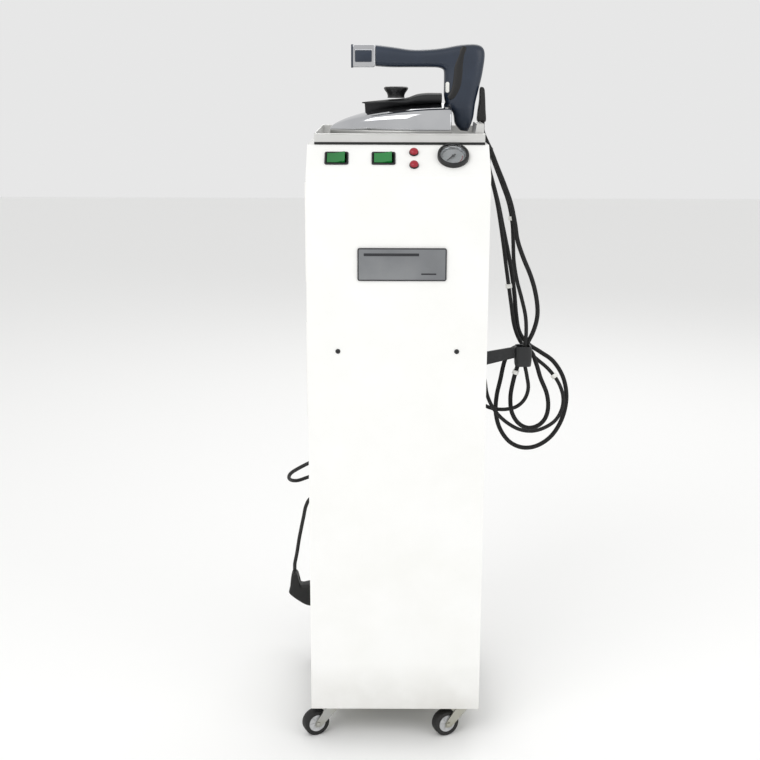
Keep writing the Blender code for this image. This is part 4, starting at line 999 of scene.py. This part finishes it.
# ---- cabinet ---------------------------------------------------------------------------------
FACING = basis(np.array([0.0, -1.0, 0.0]))
REARWARD = basis(np.array([0.0, 1.0, 0.0]))
UPWARD = np.eye(3)


@dataclass
class Cabinet:
    """The sheet-metal body's small fittings: front screws, nameplate and louvre hoods at the back."""

    screw_x: float = 0.086
    screw_z: float = 0.623
    screw_r: float = 0.0036
    # length and width of each black bar of the cross on a screw head: painted shade of the recess
    slot: tuple = (0.0048, 0.0010)
    plate_frame: float = 0.0016
    plate_bars: tuple = ((0.62, 0.085, -0.12, 0.30), (0.17, 0.045, 0.30, -0.29))
    hood_rise: float = 0.0065
    hood_depth: float = 0.0060
    hoods: int = 5
    hood_drop: float = 0.115
    hood_pitch: float = 0.016
    hood_half: float = 0.053
    hood_wall: tuple = (0.0011, 0.0009)
    panel_screws: tuple = ((-0.118, 0.890), (0.118, 0.890), (-0.118, 0.480), (0.118, 0.480),
                           (-0.118, 0.070), (0.118, 0.070))

    def build(self) -> None:
        """Builds the fittings."""
        self.build_screws()
        self.build_nameplate()
        self.build_louvres()

    def screw(self, place: Array, axes: Array) -> tuple[Surface, list[Surface]]:
        """One pan-head screw: a low dome, and a cross of two short black bars on it that paints the shade of
        a cross recess, which is not cut.

        Args:
            place: the middle of its underside.
            axes: rows right, up and out.

        Returns:
            The dome, and the bars of the cross.
        """
        r = self.screw_r
        a = arc(8, 0, math.pi / 2)
        dome = np.vstack([[(r, 0.0)], np.column_stack([r * np.cos(a), 0.0006 + 0.0013 * np.sin(a)])[:-1],
                          [(0.0004, 0.0019)]])
        cross = [stacked(size, 0.0003, slab_profile(0.0004, 0.0001, 0.00165), place, axes, 2)
                 for size in (self.slot, self.slot[::-1])]
        return turned(dome, place, axes, 24), cross

    def build_screws(self) -> None:
        """Two screws on the front panel and six round the back cover."""
        heads, recess_shades = [], []
        front = [(ORIGIN + [x, FRONT - ORIGIN[1], self.screw_z], FACING)
                 for x in (-self.screw_x, self.screw_x)]
        back = [(ORIGIN + [x, HIGH[1] - ORIGIN[1], z], REARWARD) for x, z in self.panel_screws]
        for place, axes in front + back:
            head, cross = self.screw(place, axes)
            heads.append(head)
            recess_shades += cross
        make_piece("panel_screws", heads, PAINTED_STEEL, "root")
        # Black crosses standing on the heads: painted shade where the recesses would be.
        make_piece("panel_screw_recess_shade", recess_shades, BLACK_ABS, "root")

    def build_nameplate(self) -> None:
        """A blank plate: a brushed face in a dark raised frame, with two bars as shares of its size."""
        low, high = box_of("nameplate")
        middle = (low + high) / 2
        size = (high[0] - low[0], high[2] - low[2])
        back = np.array([middle[0], high[1], middle[2]])
        deep = high[1] - low[1]
        make_piece("nameplate_sheet", [stacked((size[0] - 0.0010, size[1] - 0.0010), 0.0025,
                                               slab_profile(deep - 0.0006, 0.0003), back, FACING)],
                   NAMEPLATE, "root", ("nameplate",))
        rim = self.plate_frame
        ring = [(0, 0.0), (0, deep - 0.0004), (0.0004, deep), (rim - 0.0004, deep), (rim, deep - 0.0004),
                (rim, 0.0)]
        frame_ring = stacked(size, 0.0030, ring, back, FACING, loops=True)
        bars = [stacked((size[0] * length, size[1] * height), 0.0006,
                        slab_profile(0.0004, 0.0001, deep - 0.0007),
                        back + [size[0] * x, 0, size[1] * z], FACING, 3)
                for length, height, x, z in self.plate_bars]
        make_piece("nameplate_frame", [frame_ring, *bars], DARK_ANODISED, "root")

    def build_louvres(self) -> None:
        """A pressed hood over each slot of the back cover: a quarter ellipse that closes at both ends.

        Across it the height is sin(a) and the depth cos(a); along it both shrink by
        (1 - u^6)^(1/2) towards the ends.
        """
        top = HIGH[2]
        hoods = []
        for row in range(self.hoods):
            z = top - self.hood_drop - row * self.hood_pitch + 0.005
            u = np.linspace(-1, 1, 33)
            shrink = np.sqrt(np.maximum(1 - np.abs(u) ** 6, 0.02))
            a = arc(9, 0, math.pi / 2)
            y = shrink[:, None] * self.hood_depth * np.cos(a)
            rise = shrink[:, None] * self.hood_rise * np.sin(a)
            outer = np.stack([np.repeat(u[:, None] * self.hood_half, 9, axis=1), y, z - 0.0045 + rise],
                             axis=-1)
            inner = outer.copy()
            inner[..., 1] = np.maximum(outer[..., 1] - self.hood_wall[0], 0)
            inner[..., 2] = outer[..., 2] - self.hood_wall[1] * np.sin(a)
            ring = np.concatenate([outer, inner[:, ::-1]], axis=1)
            hoods.append(Surface(ring + [ORIGIN[0], HIGH[1], 0]))
        make_piece("louvre_hoods", hoods, POWDER_COAT, "root")


@dataclass
class TopTray:
    """The drip tray's rolled rim and the ribbed rest mat under the iron."""

    bead: float = 0.0012
    corner: float = 0.0035
    rib: float = 0.0060
    rib_depth: float = 0.0009
    notch_half: float = 0.0145
    # height and thickness of the black strip under the tray's front edge: painted shadow of the gap under the
    # tray
    gap_shadow: tuple = (0.0034, 0.0012)
    columns: int = 281
    rows: int = 9

    def build(self) -> None:
        """Builds the rim's bead, open at the hose notch, a black strip under the front edge that is painted
        shadow of the gap below it, and the mat.
        """
        low, high = box_of("tray")
        rim_z = box_of("rest_mat")[0][2] - PANEL_GAP + TRAY_RIM
        half = (high - low) / 2 - 0.0006
        centre = (low + high) / 2
        loop = rounded_outline([half[0]], [half[1]], [self.corner], 7)[0] + centre[:2]
        loop = np.vstack([loop, loop[:1]])
        dense = np.vstack([a + (b - a) * np.linspace(0, 1, 40, endpoint=False)[:, None]
                           for a, b in zip(loop[:-1], loop[1:])])
        inside = (dense[:, 0] > centre[0]) & (np.abs(dense[:, 1] - ORIGIN[1]) < self.notch_half)
        first = int(np.flatnonzero(inside & ~np.roll(inside, -1))[0]) + 1
        path = np.roll(dense, -first, axis=0)[:np.count_nonzero(~inside)]
        path = np.column_stack([path, np.full(len(path), rim_z)])
        make_piece("tray_rolled_rim", [tube(path, self.bead, 12)], BUFFED_STAINLESS, "root")
        # Black strip along the tray's front underside: painted shadow of the gap between tray and cabinet.
        gap_shadow = stacked((high[0] - low[0] - 0.0002, self.gap_shadow[0]), 0.0006, slab_profile(self.gap_shadow[1], 0.0004),
                       np.array([centre[0], low[1] + 0.0002, low[2] + self.gap_shadow[0] / 2]), FACING, 4)
        make_piece("tray_front_gap_shadow", [gap_shadow], VINYL_SHEATH, "root")
        self.build_mat()

    def build_mat(self) -> None:
        """A silicone mat whose top is thickness - depth (1 - cos(2 pi x / pitch)) / 2."""
        low, high = box_of("rest_mat")
        size, centre = high - low, (low + high) / 2
        x = np.linspace(-size[0] / 2, size[0] / 2, self.columns)
        y = np.linspace(-1, 1, self.rows)
        edge = np.minimum(1, (1 - np.abs(y)) * 30 + 0.35)
        wave = size[2] - self.rib_depth * (1 - np.cos(2 * math.pi * x / self.rib)) / 2
        top = np.stack([np.broadcast_to(x, (self.rows, self.columns)),
                        np.repeat(y[:, None] * size[1] / 2, self.columns, axis=1),
                        wave[None] * edge[:, None]], axis=-1)
        under = top[:, ::-1].copy()
        under[..., 2] = 0
        grid = np.concatenate([top, under], axis=1) + [centre[0], centre[1], low[2]]
        make_piece("rest_mat_ribbed", [Surface(grid)], SILICONE, "root", ("rest_mat",))


# ---- controls --------------------------------------------------------------------------------
@dataclass
class ControlStrip:
    """Two lit rocker switches, two indicator lamps and a pressure gauge on the sloping strip."""

    switch_x: tuple = (-0.0874, -0.0208)
    switch_up: float = 0.034
    switch_size: tuple = (0.034, 0.025)
    rocker_size: tuple = (0.0252, 0.0186)
    rocker_tilt: float = math.radians(8)
    rocker_drop: float = 0.002
    lamp_r: float = 0.0068
    gauge_r: float = 0.0225
    gauge_margin: float = 0.0017
    needle_at: float = math.radians(225)
    scale_from: float = 225
    scale_to: float = -45
    scale_marks: int = 31
    limit_from: float = 9

    def build(self) -> None:
        """Builds every control."""
        for kind, x in zip(("main", "iron"), self.switch_x):
            self.build_switch(kind, x)
        for name in ("power_lamp", "steam_lamp"):
            self.build_lamp(name)
        self.build_gauge()

    def build_switch(self, kind: str, x: float) -> None:
        """A cup-shaped frame with a rounded flange, and the rocker in it.

        The rocker's top is 2.7 mm + 1.3 mm (x / half)^2 over its axis, so that both ends stand up.

        Args:
            kind: first word of its CAD nodes' names.
            x: its middle, from the cabinet's.
        """
        place = on_strip(x, self.switch_up)
        cup = [(0.0019, -0.0145), (0.0019, 0.0004), (0, 0.0004), (0, 0.0014), (0.0003, 0.0019),
               (0.0008, 0.0021), (0.0022, 0.0021), (0.0027, 0.0017), (0.0029, 0.0010), (0.0029, -0.0126)]
        make_piece(f"{kind}_switch_bezel", [stacked(self.switch_size, 0.0030, cup, place, STRIP)], BLACK_ABS,
                   "root", (f"{kind}_switch_frame",))
        half, across = self.rocker_size[0] / 2, self.rocker_size[1] / 2
        u = np.linspace(-1, 1, 41)
        top = np.column_stack([u * half, self.rocker_drop + 0.0027 + 0.0013 * u ** 2])
        under = np.array([(half, self.rocker_drop), (0.0080, self.rocker_drop - 0.0070),
                          (-0.0080, self.rocker_drop - 0.0070), (-half, self.rocker_drop)])
        outline = np.vstack([top, under])
        c, s = math.cos(self.rocker_tilt), math.sin(self.rocker_tilt)
        axes = np.array([c * STRIP[0] + s * STRIP[2], c * STRIP[2] - s * STRIP[0], -STRIP[1]])
        pivot = place - self.rocker_drop * STRIP[2]
        make_piece(f"{kind}_rocker_lens", [moulded(outline, across, 0.0009, pivot, axes)], GREEN_LENS,
                   f"{kind}_rocker", (f"{kind}_rocker",), sharp=50)

    def build_lamp(self, name: str) -> None:
        """A domed lens whose height is 3.4 mm times the square root of 1 - (r / R)^2, on a black collar.

        Args:
            name: the lamp's CAD node.
        """
        low, high = box_of(name)
        middle = (low + high) / 2
        place = on_strip(middle[0] - ORIGIN[0], (middle - FOLD) @ STRIP[1])
        r = self.lamp_r
        a = arc(12, 0, math.pi / 2)
        dome = np.column_stack([(r - 0.0008) * np.cos(a), 0.0036 + 0.0034 * np.sin(a)])[:-1]
        lens = np.vstack([[(r - 0.0016, -0.0160), (r - 0.0016, 0.0010), (r - 0.0008, 0.0012)], dome,
                          [(0.0003, 0.0070)]])
        make_piece(f"{name}_lens", [turned(lens, place, STRIP, 32)], RED_LENS, "root", (name,))
        collar = [(r - 0.0007, 0.0003), (r, 0.0003), (r, 0.0018), (r - 0.0003, 0.0022), (r - 0.0007, 0.0022)]
        make_piece(f"{name}_collar", [turned(collar, place, STRIP, 32, loops=True)], BLACK_ABS,
                   "root")

    def build_gauge(self) -> None:
        """A chromed bezel on a black case, a dial card with its scale, the needle and the window."""
        case_low, case_high = box_of("gauge_case")
        r = self.gauge_r
        x = (case_low[0] + case_high[0]) / 2 - ORIGIN[0]
        strip_length = (HIGH[2] - FOLD[2]) / math.cos(STRIP_TILT)
        place = on_strip(x, strip_length - self.gauge_margin - r)
        a = arc(7, 0, math.pi / 2)
        shoulder = np.column_stack([r - 0.0022 + 0.0022 * np.cos(a), 0.0050 + 0.0020 * np.sin(a)])
        case = np.vstack([[(r - 0.0025, -0.022), (r - 0.0025, 0.0003), (r, 0.0003)], shoulder,
                          [(r - 0.0034, 0.0070), (r - 0.0034, 0.0040), (r - 0.0046, 0.0040),
                           (r - 0.0046, -0.0010)]])
        make_piece("gauge_body", [turned(case, place, STRIP, 56)], BLACK_ABS, "root",
                   ("gauge_case",))
        inner = [(r - 0.0048, -0.0009), (r - 0.0047, 0.0030), (r - 0.0068, -0.0004), (r - 0.0068, -0.0009)]
        make_piece("gauge_reflector_ring", [turned(inner, place, STRIP, 56, loops=True)], CHROME,
                   "root")
        card_r = r - 0.0048
        card = turned(slab_disc(card_r, -0.0009, 0.0004), place, STRIP, 48)
        make_piece("gauge_dial_card", [card], DIAL_CARD, "root")
        self.build_scale(place, card_r)
        needle = self.needle_outline()
        c, s = math.cos(self.needle_at), math.sin(self.needle_at)
        axes = np.array([c * STRIP[0] + s * STRIP[1], c * STRIP[1] - s * STRIP[0], STRIP[2]])
        pointer = moulded(needle, 0.0004, 0.0002, place + 0.0016 * STRIP[2], axes, 3)
        boss = turned(slab_disc(0.0022, 0.0012, 0.0014), place, STRIP, 24)
        make_piece("gauge_pointer", [pointer, boss], BLACK_ABS, "gauge_needle",
                   ("gauge_needle",))

    @staticmethod
    def needle_outline() -> Array:
        """A long taper with a short tail.

        Returns:
            Points round it, as (along, across) from its axis.
        """
        return np.array([(-0.0048, -0.0011), (0.0, -0.0010), (0.0132, -0.0003), (0.0138, 0.0),
                         (0.0132, 0.0003), (0.0, 0.0010), (-0.0048, 0.0011)])

    def build_scale(self, place: Array, card_r: float) -> None:
        """Marks over 270 degrees, each fifth one long, and a red arc over the last fifth of them.

        Args:
            place: middle of the dial.
            card_r: radius of the dial card.
        """
        marks = []
        for k, angle in enumerate(np.radians(np.linspace(self.scale_from, self.scale_to, self.scale_marks))):
            length = 0.0030 if k % 5 == 0 else 0.0016
            out = math.cos(angle) * STRIP[0] + math.sin(angle) * STRIP[1]
            axes = np.array([out, np.cross(STRIP[2], out), STRIP[2]])
            centre = place + (card_r - 0.0010 - length / 2) * out
            width = 0.0006 if k % 5 == 0 else 0.0003
            marks.append(stacked((length, width), 0.0001, slab_profile(0.0002, 0.00005, -0.0005), centre,
                                 axes, 2))
        sweep = np.radians(np.linspace(self.limit_from, self.scale_to, 25))
        ring = np.array([(card_r - 0.0052, -0.0005), (card_r - 0.0040, -0.0005), (card_r - 0.0040, -0.0003),
                         (card_r - 0.0052, -0.0003)])
        out = np.cos(sweep)[:, None] * STRIP[0] + np.sin(sweep)[:, None] * STRIP[1]
        band = place + ring[None, :, :1] * out[:, None] + ring[None, :, 1:] * STRIP[2]
        make_piece("gauge_scale_marks", marks, BLACK_ABS, "root")
        make_piece("gauge_limit_arc", [Surface(band)], RED_LENS, "root")


# ---- iron ------------------------------------------------------------------------------------
@dataclass
class SteamIron:
    """The iron, measured from the middle of the cabinet and the bottom edge of its cover."""

    tip: float = -0.1014
    rear: float = 0.0795
    half: float = 0.055
    ridge: float = 0.0396
    sole_t: float = 0.0100
    knob_x: float = -0.0020
    knob_r: float = 0.0182
    knob_base: float = 0.0455
    knob_h: float = 0.0165
    handle_half: float = 0.0165
    cap: tuple = (-0.0685, -0.0333, 0.0899, 0.1224)
    button: tuple = (0.0246, 0.0168, 0.0025)
    # place of the white oval on the column's front, as (x, height): a painted highlight
    lens: tuple = (0.0758, 0.0613)
    section: tuple = ((1.0, 0.0), (0.998, 0.28), (0.985, 0.55), (0.93, 0.70), (0.80, 0.81), (0.60, 0.885),
                      (0.34, 0.955), (0.0, 1.0))
    shield: tuple = ((-0.0530, 0.0392, 0.001), (-0.0440, 0.0402, 0.006), (-0.0330, 0.0413, 0.010),
                     (-0.0130, 0.0432, 0.018), (0.0050, 0.0445, 0.021), (0.0160, 0.0462, 0.022),
                     (0.0300, 0.0510, 0.024), (0.0450, 0.0528, 0.025), (0.0660, 0.0528, 0.025))
    inner_edge: tuple = ((-0.0330, 0.0914), (-0.0100, 0.0901), (0.0200, 0.0901), (0.0450, 0.0901),
                         (0.0600, 0.0897), (0.0672, 0.0874), (0.0692, 0.0839), (0.0696, 0.0759),
                         (0.0696, 0.0629), (0.0700, 0.0479), (0.0735, 0.0359), (0.0835, 0.0239),
                         (0.0870, 0.0079), (0.0950, -0.0021))
    outer_edge: tuple = ((-0.0330, 0.1224), (-0.0100, 0.1199), (0.0200, 0.1159), (0.0450, 0.1161),
                         (0.0680, 0.1184), (0.0950, 0.1229), (0.1200, 0.1229), (0.1295, 0.1119),
                         (0.1270, 0.0829), (0.1215, 0.0579), (0.1170, 0.0379), (0.1145, 0.0179),
                         (0.1110, 0.0059), (0.1070, -0.0031))

    def __post_init__(self) -> None:
        """Finds the iron's own zero in the world."""
        self.zero = np.array([ORIGIN[0], ORIGIN[1], box_of("iron_cover")[0][2]])

    def half_width(self, t: Array) -> Array:
        """Half the width at a share t from the tip: half sin(min(1, t / 0.8) pi / 2)^0.75."""
        return self.half * np.sin(np.minimum(1.0, t / 0.8) * math.pi / 2) ** 0.75

    def ridge_height(self, t: Array) -> Array:
        """Height of the ridge at a share t: ridge sin(t pi / 2)^0.6."""
        return self.ridge * np.sin(np.maximum(t, 0.004) * math.pi / 2) ** 0.6

    def build(self) -> None:
        """Builds the iron from its sole up."""
        self.build_sole()
        self.build_cover()
        self.build_shield()
        self.build_knob()
        self.build_handle()
        self.build_cap()
        self.build_boot()
        self.build_column_highlight()

    def build_sole(self) -> None:
        """The plan of the iron through a slab's profile: its insets draw each ring inwards."""
        t = np.linspace(0.004, 1, 60) ** 1.4
        edge = np.column_stack([self.tip + t * (self.rear - self.tip), self.half_width(t) + 0.001])
        plan = np.vstack([edge, edge[::-1] * [1, -1]])
        inset, height = slab_profile(self.sole_t, 0.0012, -self.sole_t - 0.0003, 5).T
        middle = plan.mean(axis=0)
        reach = np.linalg.norm(plan - middle, axis=1)[None, :, None]
        flat = middle + (plan - middle)[None] * (1 - inset[:, None, None] / reach)
        grid = np.concatenate([flat, np.broadcast_to(height[:, None, None], (*flat.shape[:2], 1))], axis=-1)
        make_piece("sole_plate_polished", [Surface(grid + self.zero)], BRUSHED_STAINLESS, "iron",
                   ("sole_plate",))

    def build_cover(self) -> None:
        """Upright sides, round shoulders, a low ridge: each ring is the section scaled both ways."""
        t = np.concatenate([np.linspace(0.005, 0.985, 90) ** 1.25, [0.992, 0.997, 1.0]])
        shrink = np.concatenate([np.ones(90), [0.996, 0.985, 0.965]])
        knots = np.array(self.section)
        half = open_curve(knots, 26)
        ring = np.vstack([half * [-1, 1], half[::-1][1:]])
        y = self.half_width(t)[:, None] * ring[None, :, 0] * shrink[:, None]
        z = self.ridge_height(t)[:, None] * ring[None, :, 1] * shrink[:, None]
        x = np.broadcast_to((self.tip + t * (self.rear - self.tip))[:, None], y.shape)
        make_piece("iron_cover_polished", [Surface(np.stack([x, y, z], axis=-1) + self.zero)], CHROME,
                   "iron", ("iron_cover",))

    def build_shield(self) -> None:
        """A guard over the ridge, thin at its edges and reaching down to the ridge in the middle.

        Its underside lies at edge + (core - edge) (1 - u^2)^1.5 for a share u across it.
        """
        x, rise, w = open_curve(np.array(self.shield), 90).T
        ridge = self.ridge_height((x - self.tip) / (self.rear - self.tip))
        plate = np.interp(x, [-0.053, -0.046, -0.010, 0.018, 0.040], [0.0016, 0.0036, 0.0046, 0.0085, 0.0125])
        core = np.minimum(ridge * 0.94, rise - plate)
        core = np.where(x < -0.049, rise - plate, core)
        a = squircle(56, 0.5)
        across, up = a[None, :, 0], a[None, :, 1]
        upper = rise[:, None] - 0.0016 * across ** 2
        lower = (rise - plate)[:, None] + (core - rise + plate)[:, None] * (1 - across ** 2) ** 1.5
        z = (upper + lower) / 2 + (upper - lower) / 2 * up
        y = w[:, None] * across
        grid = np.stack([np.broadcast_to(x[:, None], y.shape), y, z], axis=-1)
        make_piece("heat_shield_moulded", [Surface(grid + self.zero)], PHENOLIC, "iron",
                   ("heat_shield",), sharp=40)

    def build_knob(self) -> None:
        """A flared knob: its radius follows a profile and, on the grip, 1 - 0.045 (1 - |cos(6 a)|)."""
        r, h = self.knob_r, self.knob_h
        knots = np.array([(0.0130, 0.0), (0.0126, 0.0030), (0.0140, 0.0070), (r * 0.93, 0.0110), (r, 0.0138),
                          (r * 0.985, 0.0150), (r * 0.93, 0.0158), (r * 0.82, h)])
        profile = open_curve(knots, 40)
        profile = np.vstack([profile, [(r * 0.70, h - 0.0001), (r * 0.62, h - 0.0009), (0.0004, h - 0.0010)]])
        a = np.linspace(0, 2 * math.pi, 108, endpoint=False)
        grip = np.exp(-((profile[:, 1] - 0.0110) / 0.0040) ** 2)[:, None] * (profile[:, :1] > r * 0.78)
        radius = profile[:, :1] * (1 - 0.045 * grip * (1 - np.abs(np.cos(6 * a))))
        grid = np.stack([radius * np.cos(a), radius * np.sin(a),
                         np.broadcast_to(profile[:, 1:], radius.shape)],
                        axis=-1) + self.zero + [self.knob_x, 0, self.knob_base]
        make_piece("thermostat_dial", [Surface(grid)], BLACK_ABS, "thermostat_knob",
                   ("thermostat_knob",))
        mark = stacked((0.0062, 0.0012), 0.0004, slab_profile(0.0008, 0.0002, h - 0.0006),
                       self.zero + [self.knob_x - r * 0.72, 0, self.knob_base], UPWARD, 3)
        make_piece("thermostat_mark", [mark], TIE_NYLON, "thermostat_knob")

    def build_handle(self) -> None:
        """Grip and column: softened ovals between the inner and outer edge of the side view."""
        inner = open_curve(np.array(self.inner_edge), 150)
        outer = open_curve(np.array(self.outer_edge), 150)
        share = np.linspace(0, 1, 150)
        half = self.handle_half * np.interp(share, [0, 0.80, 0.90, 0.96, 1.0], [1, 1, 0.88, 0.78, 0.5])
        a = squircle(56, 0.66)
        middle, reach = (inner + outer) / 2, (outer - inner) / 2
        x = middle[:, :1] + reach[:, :1] * a[None, :, 0]
        z = middle[:, 1:] + reach[:, 1:] * a[None, :, 0]
        y = half[:, None] * a[None, :, 1]
        make_piece("handle_grip", [Surface(np.stack([x, y, z], axis=-1) + self.zero)], GRIP_NYLON,
                   "iron", ("iron_handle",), sharp=45)
        self.build_column_trim()

    def build_column_trim(self) -> None:
        """A black band down each side of the column: an ellipse (width cos a, 1.6 mm sin a) on a curve."""
        line = np.array([(0.0985, 0.1205), (0.0950, 0.1090), (0.0915, 0.0950), (0.0905, 0.0800),
                         (0.0885, 0.0640), (0.0830, 0.0510), (0.0760, 0.0455)])
        path = open_curve(line, 60)
        width = 0.0072 * np.sin(np.linspace(0.10, math.pi - 0.12, 60)) ** 0.45
        ahead = np.gradient(path, axis=0)
        ahead /= np.linalg.norm(ahead, axis=1)[:, None]
        a = 2 * math.pi * np.arange(18) / 18
        bands = []
        for side in (-1, 1):
            spread = ((width[:, None] * np.cos(a))[..., None]
                      * np.stack([-ahead[:, 1], ahead[:, 0]], axis=-1)[:, None])
            flat = path[:, None] + spread
            out = side * (self.handle_half - 0.0010 + 0.0016 * np.sin(a) * (width[:, None] / 0.0072))
            bands.append(Surface(np.stack([flat[..., 0], out, flat[..., 1]], axis=-1) + self.zero))
        make_piece("column_bands", bands, BLACK_ABS, "iron", sharp=60)

    def build_cap(self) -> None:
        """The cap with its pocket in one surface, dark end trim, and the button in the pocket."""
        left, right, low, high = self.cap
        size = (right - left, high - low)
        depth = 2 * self.handle_half + 0.0006
        place = self.zero + [(left + right) / 2, 0, (low + high) / 2]
        inset = [(whole - key) / 2 - 0.0004 for whole, key in zip(size, self.button)]
        a = arc(6, 0, math.pi / 2)
        e = 0.0022
        rim = np.column_stack([e * (1 - np.cos(a)), depth / 2 - e * (1 - np.sin(a))])
        back = np.column_stack([e * (1 - np.sin(a)), -depth / 2 + e * (1 - np.cos(a))])
        wall = np.array([[-0.0006, depth / 2], [0.0, depth / 2 - 0.0006], [0.0, depth / 2 - 0.0062]])
        pocket = np.column_stack([inset[0] + wall[:, 0], inset[1] + wall[:, 0], wall[:, 1]])
        profile = np.vstack([np.column_stack([edge[:, 0], edge]) for edge in (back, rim)] + [pocket])
        make_piece("handle_cap_polished", [stacked(size, 0.0036, profile, place, FACING)], CHROME,
                   "iron", ("handle_cap",))
        band = moulded(rounded_outline([size[1] / 2 + 0.0007], [depth / 2 + 0.0007], [0.0040], 6)[0],
                       0.0014, 0.0006, self.zero + [left + 0.0009, 0, (low + high) / 2],
                       np.array([[0.0, 0.0, 1.0], [0.0, 1.0, 0.0], [-1.0, 0.0, 0.0]]))
        make_piece("handle_cap_end", [band], GRIP_NYLON, "iron")
        face = place + [0, -depth / 2 + 0.0004 + self.button[2], 0]
        button = stacked(self.button[:2], 0.0014, slab_profile(self.button[2], 0.0006), face, FACING)
        make_piece("steam_button_key", [button], GRIP_NYLON, "steam_button",
                   ("steam_button",))

    def build_boot(self) -> None:
        """A ribbed rubber boot behind the column, from which the hose and the cable leave."""
        low, high = box_of("cord_boot")
        size = high - low
        outline = smooth_closed(np.array([
            (0.30, 1.0), (0.72, 1.0), (0.86, 0.72), (0.94, 0.36), (1.0, 0.0), (0.50, 0.0), (0.02, 0.0),
            (0.06, 0.30), (0.22, 0.62)]) * [size[0], size[2]], 64)
        axes = np.array([[1.0, 0.0, 0.0], [0.0, 0.0, 1.0], [0.0, -1.0, 0.0]])
        place = np.array([low[0], (low[1] + high[1]) / 2, low[2]])
        make_piece("cord_boot_moulded", [moulded(outline, size[1] / 2, 0.0030, place, axes)], VINYL_SHEATH,
                   "iron", ("cord_boot",), sharp=40)

    def build_column_highlight(self) -> None:
        """A small white oval on the front of the column, on the operator's side: a painted highlight."""
        x, up = self.lens
        axes = basis(np.array([-0.42, -1.0, 0.0]))
        place = self.zero + [x - 0.0010, -self.handle_half * 0.80, up]
        # White oval: painted highlight on the column.
        lens = stacked((0.0060, 0.0160), 0.0030, slab_profile(0.0026, 0.0012), place, axes, 8)
        make_piece("column_painted_highlight", [lens], TIE_NYLON, "iron")


# ---- castors ---------------------------------------------------------------------------------
@dataclass
class Castors:
    """Four castor wheels: a rounded rubber tyre on a spoked nylon centre, and domed axle nuts."""

    wheel_w: float = 0.017
    yaw: float = math.radians(25)
    axle_r: float = 0.0033
    spokes: int = 6

    def build(self) -> None:
        """Builds one wheel after another on its own axle."""
        axle = np.array([-math.sin(self.yaw), math.cos(self.yaw), 0.0])
        axes = basis(axle)
        for side in CASTORS:
            low, high = box_of(f"castor_wheel_{side}")
            centre = (low + high) / 2
            radius = (high[2] - low[2]) / 2
            self.build_wheel(side, centre, radius, axes)

    def build_wheel(self, side: str, centre: Array, radius: float, axes: Array) -> None:
        """Tyre: a barrel between two shoulders.  Centre: a disc whose face dips between its spokes.

        The dip is 1.6 mm sin(pi v)^0.7 max(0, cos(n a))^0.5, where v runs from hub to rim.

        Args:
            side: which castor.
            centre: middle of the wheel.
            radius: its radius.
            axes: rows across, up and along the axle.
        """
        w = self.wheel_w / 2
        a = arc(9, -math.pi / 2, math.pi / 2)
        crown = np.column_stack([radius - 0.0030 + 0.0030 * np.cos(a),
                                 (w - 0.0030) * np.sign(a) + 0.0030 * np.sin(a)])
        tyre = np.vstack([[(radius * 0.66, -w + 0.0012), (radius * 0.70, -w + 0.0003)], crown,
                          [(radius * 0.70, w - 0.0003), (radius * 0.66, w - 0.0012)]])
        make_piece(f"castor_tyre_{side}", [turned(tyre, centre, axes, 64, loops=True)], TYRE_RUBBER,
                   f"castor_wheel_{side}", (f"castor_wheel_{side}",))
        v = np.linspace(0, 1, 9)
        r = self.axle_r + v * (radius * 0.68 - self.axle_r)
        turn = np.linspace(0, 2 * math.pi, 72, endpoint=False)
        dip = 0.0016 * (np.sin(math.pi * v) ** 0.7)[:,
                                                    None] * np.sqrt(np.maximum(0, np.cos(self.spokes * turn)))
        height = np.where(v[:, None] < 0.2, w - 0.0002, w - 0.0013) - dip
        face = np.stack([r[:, None] * np.cos(turn), r[:, None] * np.sin(turn), height], axis=-1)
        ring = np.concatenate([face, face[::-1] * [1, 1, -1]])
        grid = centre + ring @ axes
        make_piece(f"castor_hub_{side}", [Surface(grid, loops=True)], HUB_NYLON,
                   f"castor_wheel_{side}")
        nut = [(0.0042, 0), (0.0042, 0.0010), (0.0036, 0.0020), (0.0020, 0.0026), (0.0003, 0.0028)]
        reach = w + 0.0012 + 0.0020
        nuts = [turned(nut, centre + axes[2] * reach, axes, 18),
                turned(nut, centre - axes[2] * reach, np.array([axes[0], -axes[1], -axes[2]]), 18)]
        make_piece(f"castor_axle_nuts_{side}", nuts, ZINC, f"castor_fork_{side}")


def dress_nodes() -> None:
    """Gives every CAD node that still shows its own finish."""
    for finish, names in NODE_FINISHES.items():
        for name in names:
            node = bpy.data.objects[name]
            for slot in node.material_slots:
                slot.material = finish.material()
            if not node.material_slots:
                node.data.materials.append(finish.material())


def main() -> None:
    """Builds every sub-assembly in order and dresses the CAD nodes."""
    for kind in (Studio, IronCords, MainsLead, Cabinet, TopTray, ControlStrip, SteamIron, Castors):
        kind().build()
    dress_nodes()


if __name__ == "__main__":
    logging.basicConfig(level=logging.INFO, format="%(message)s")
    main()
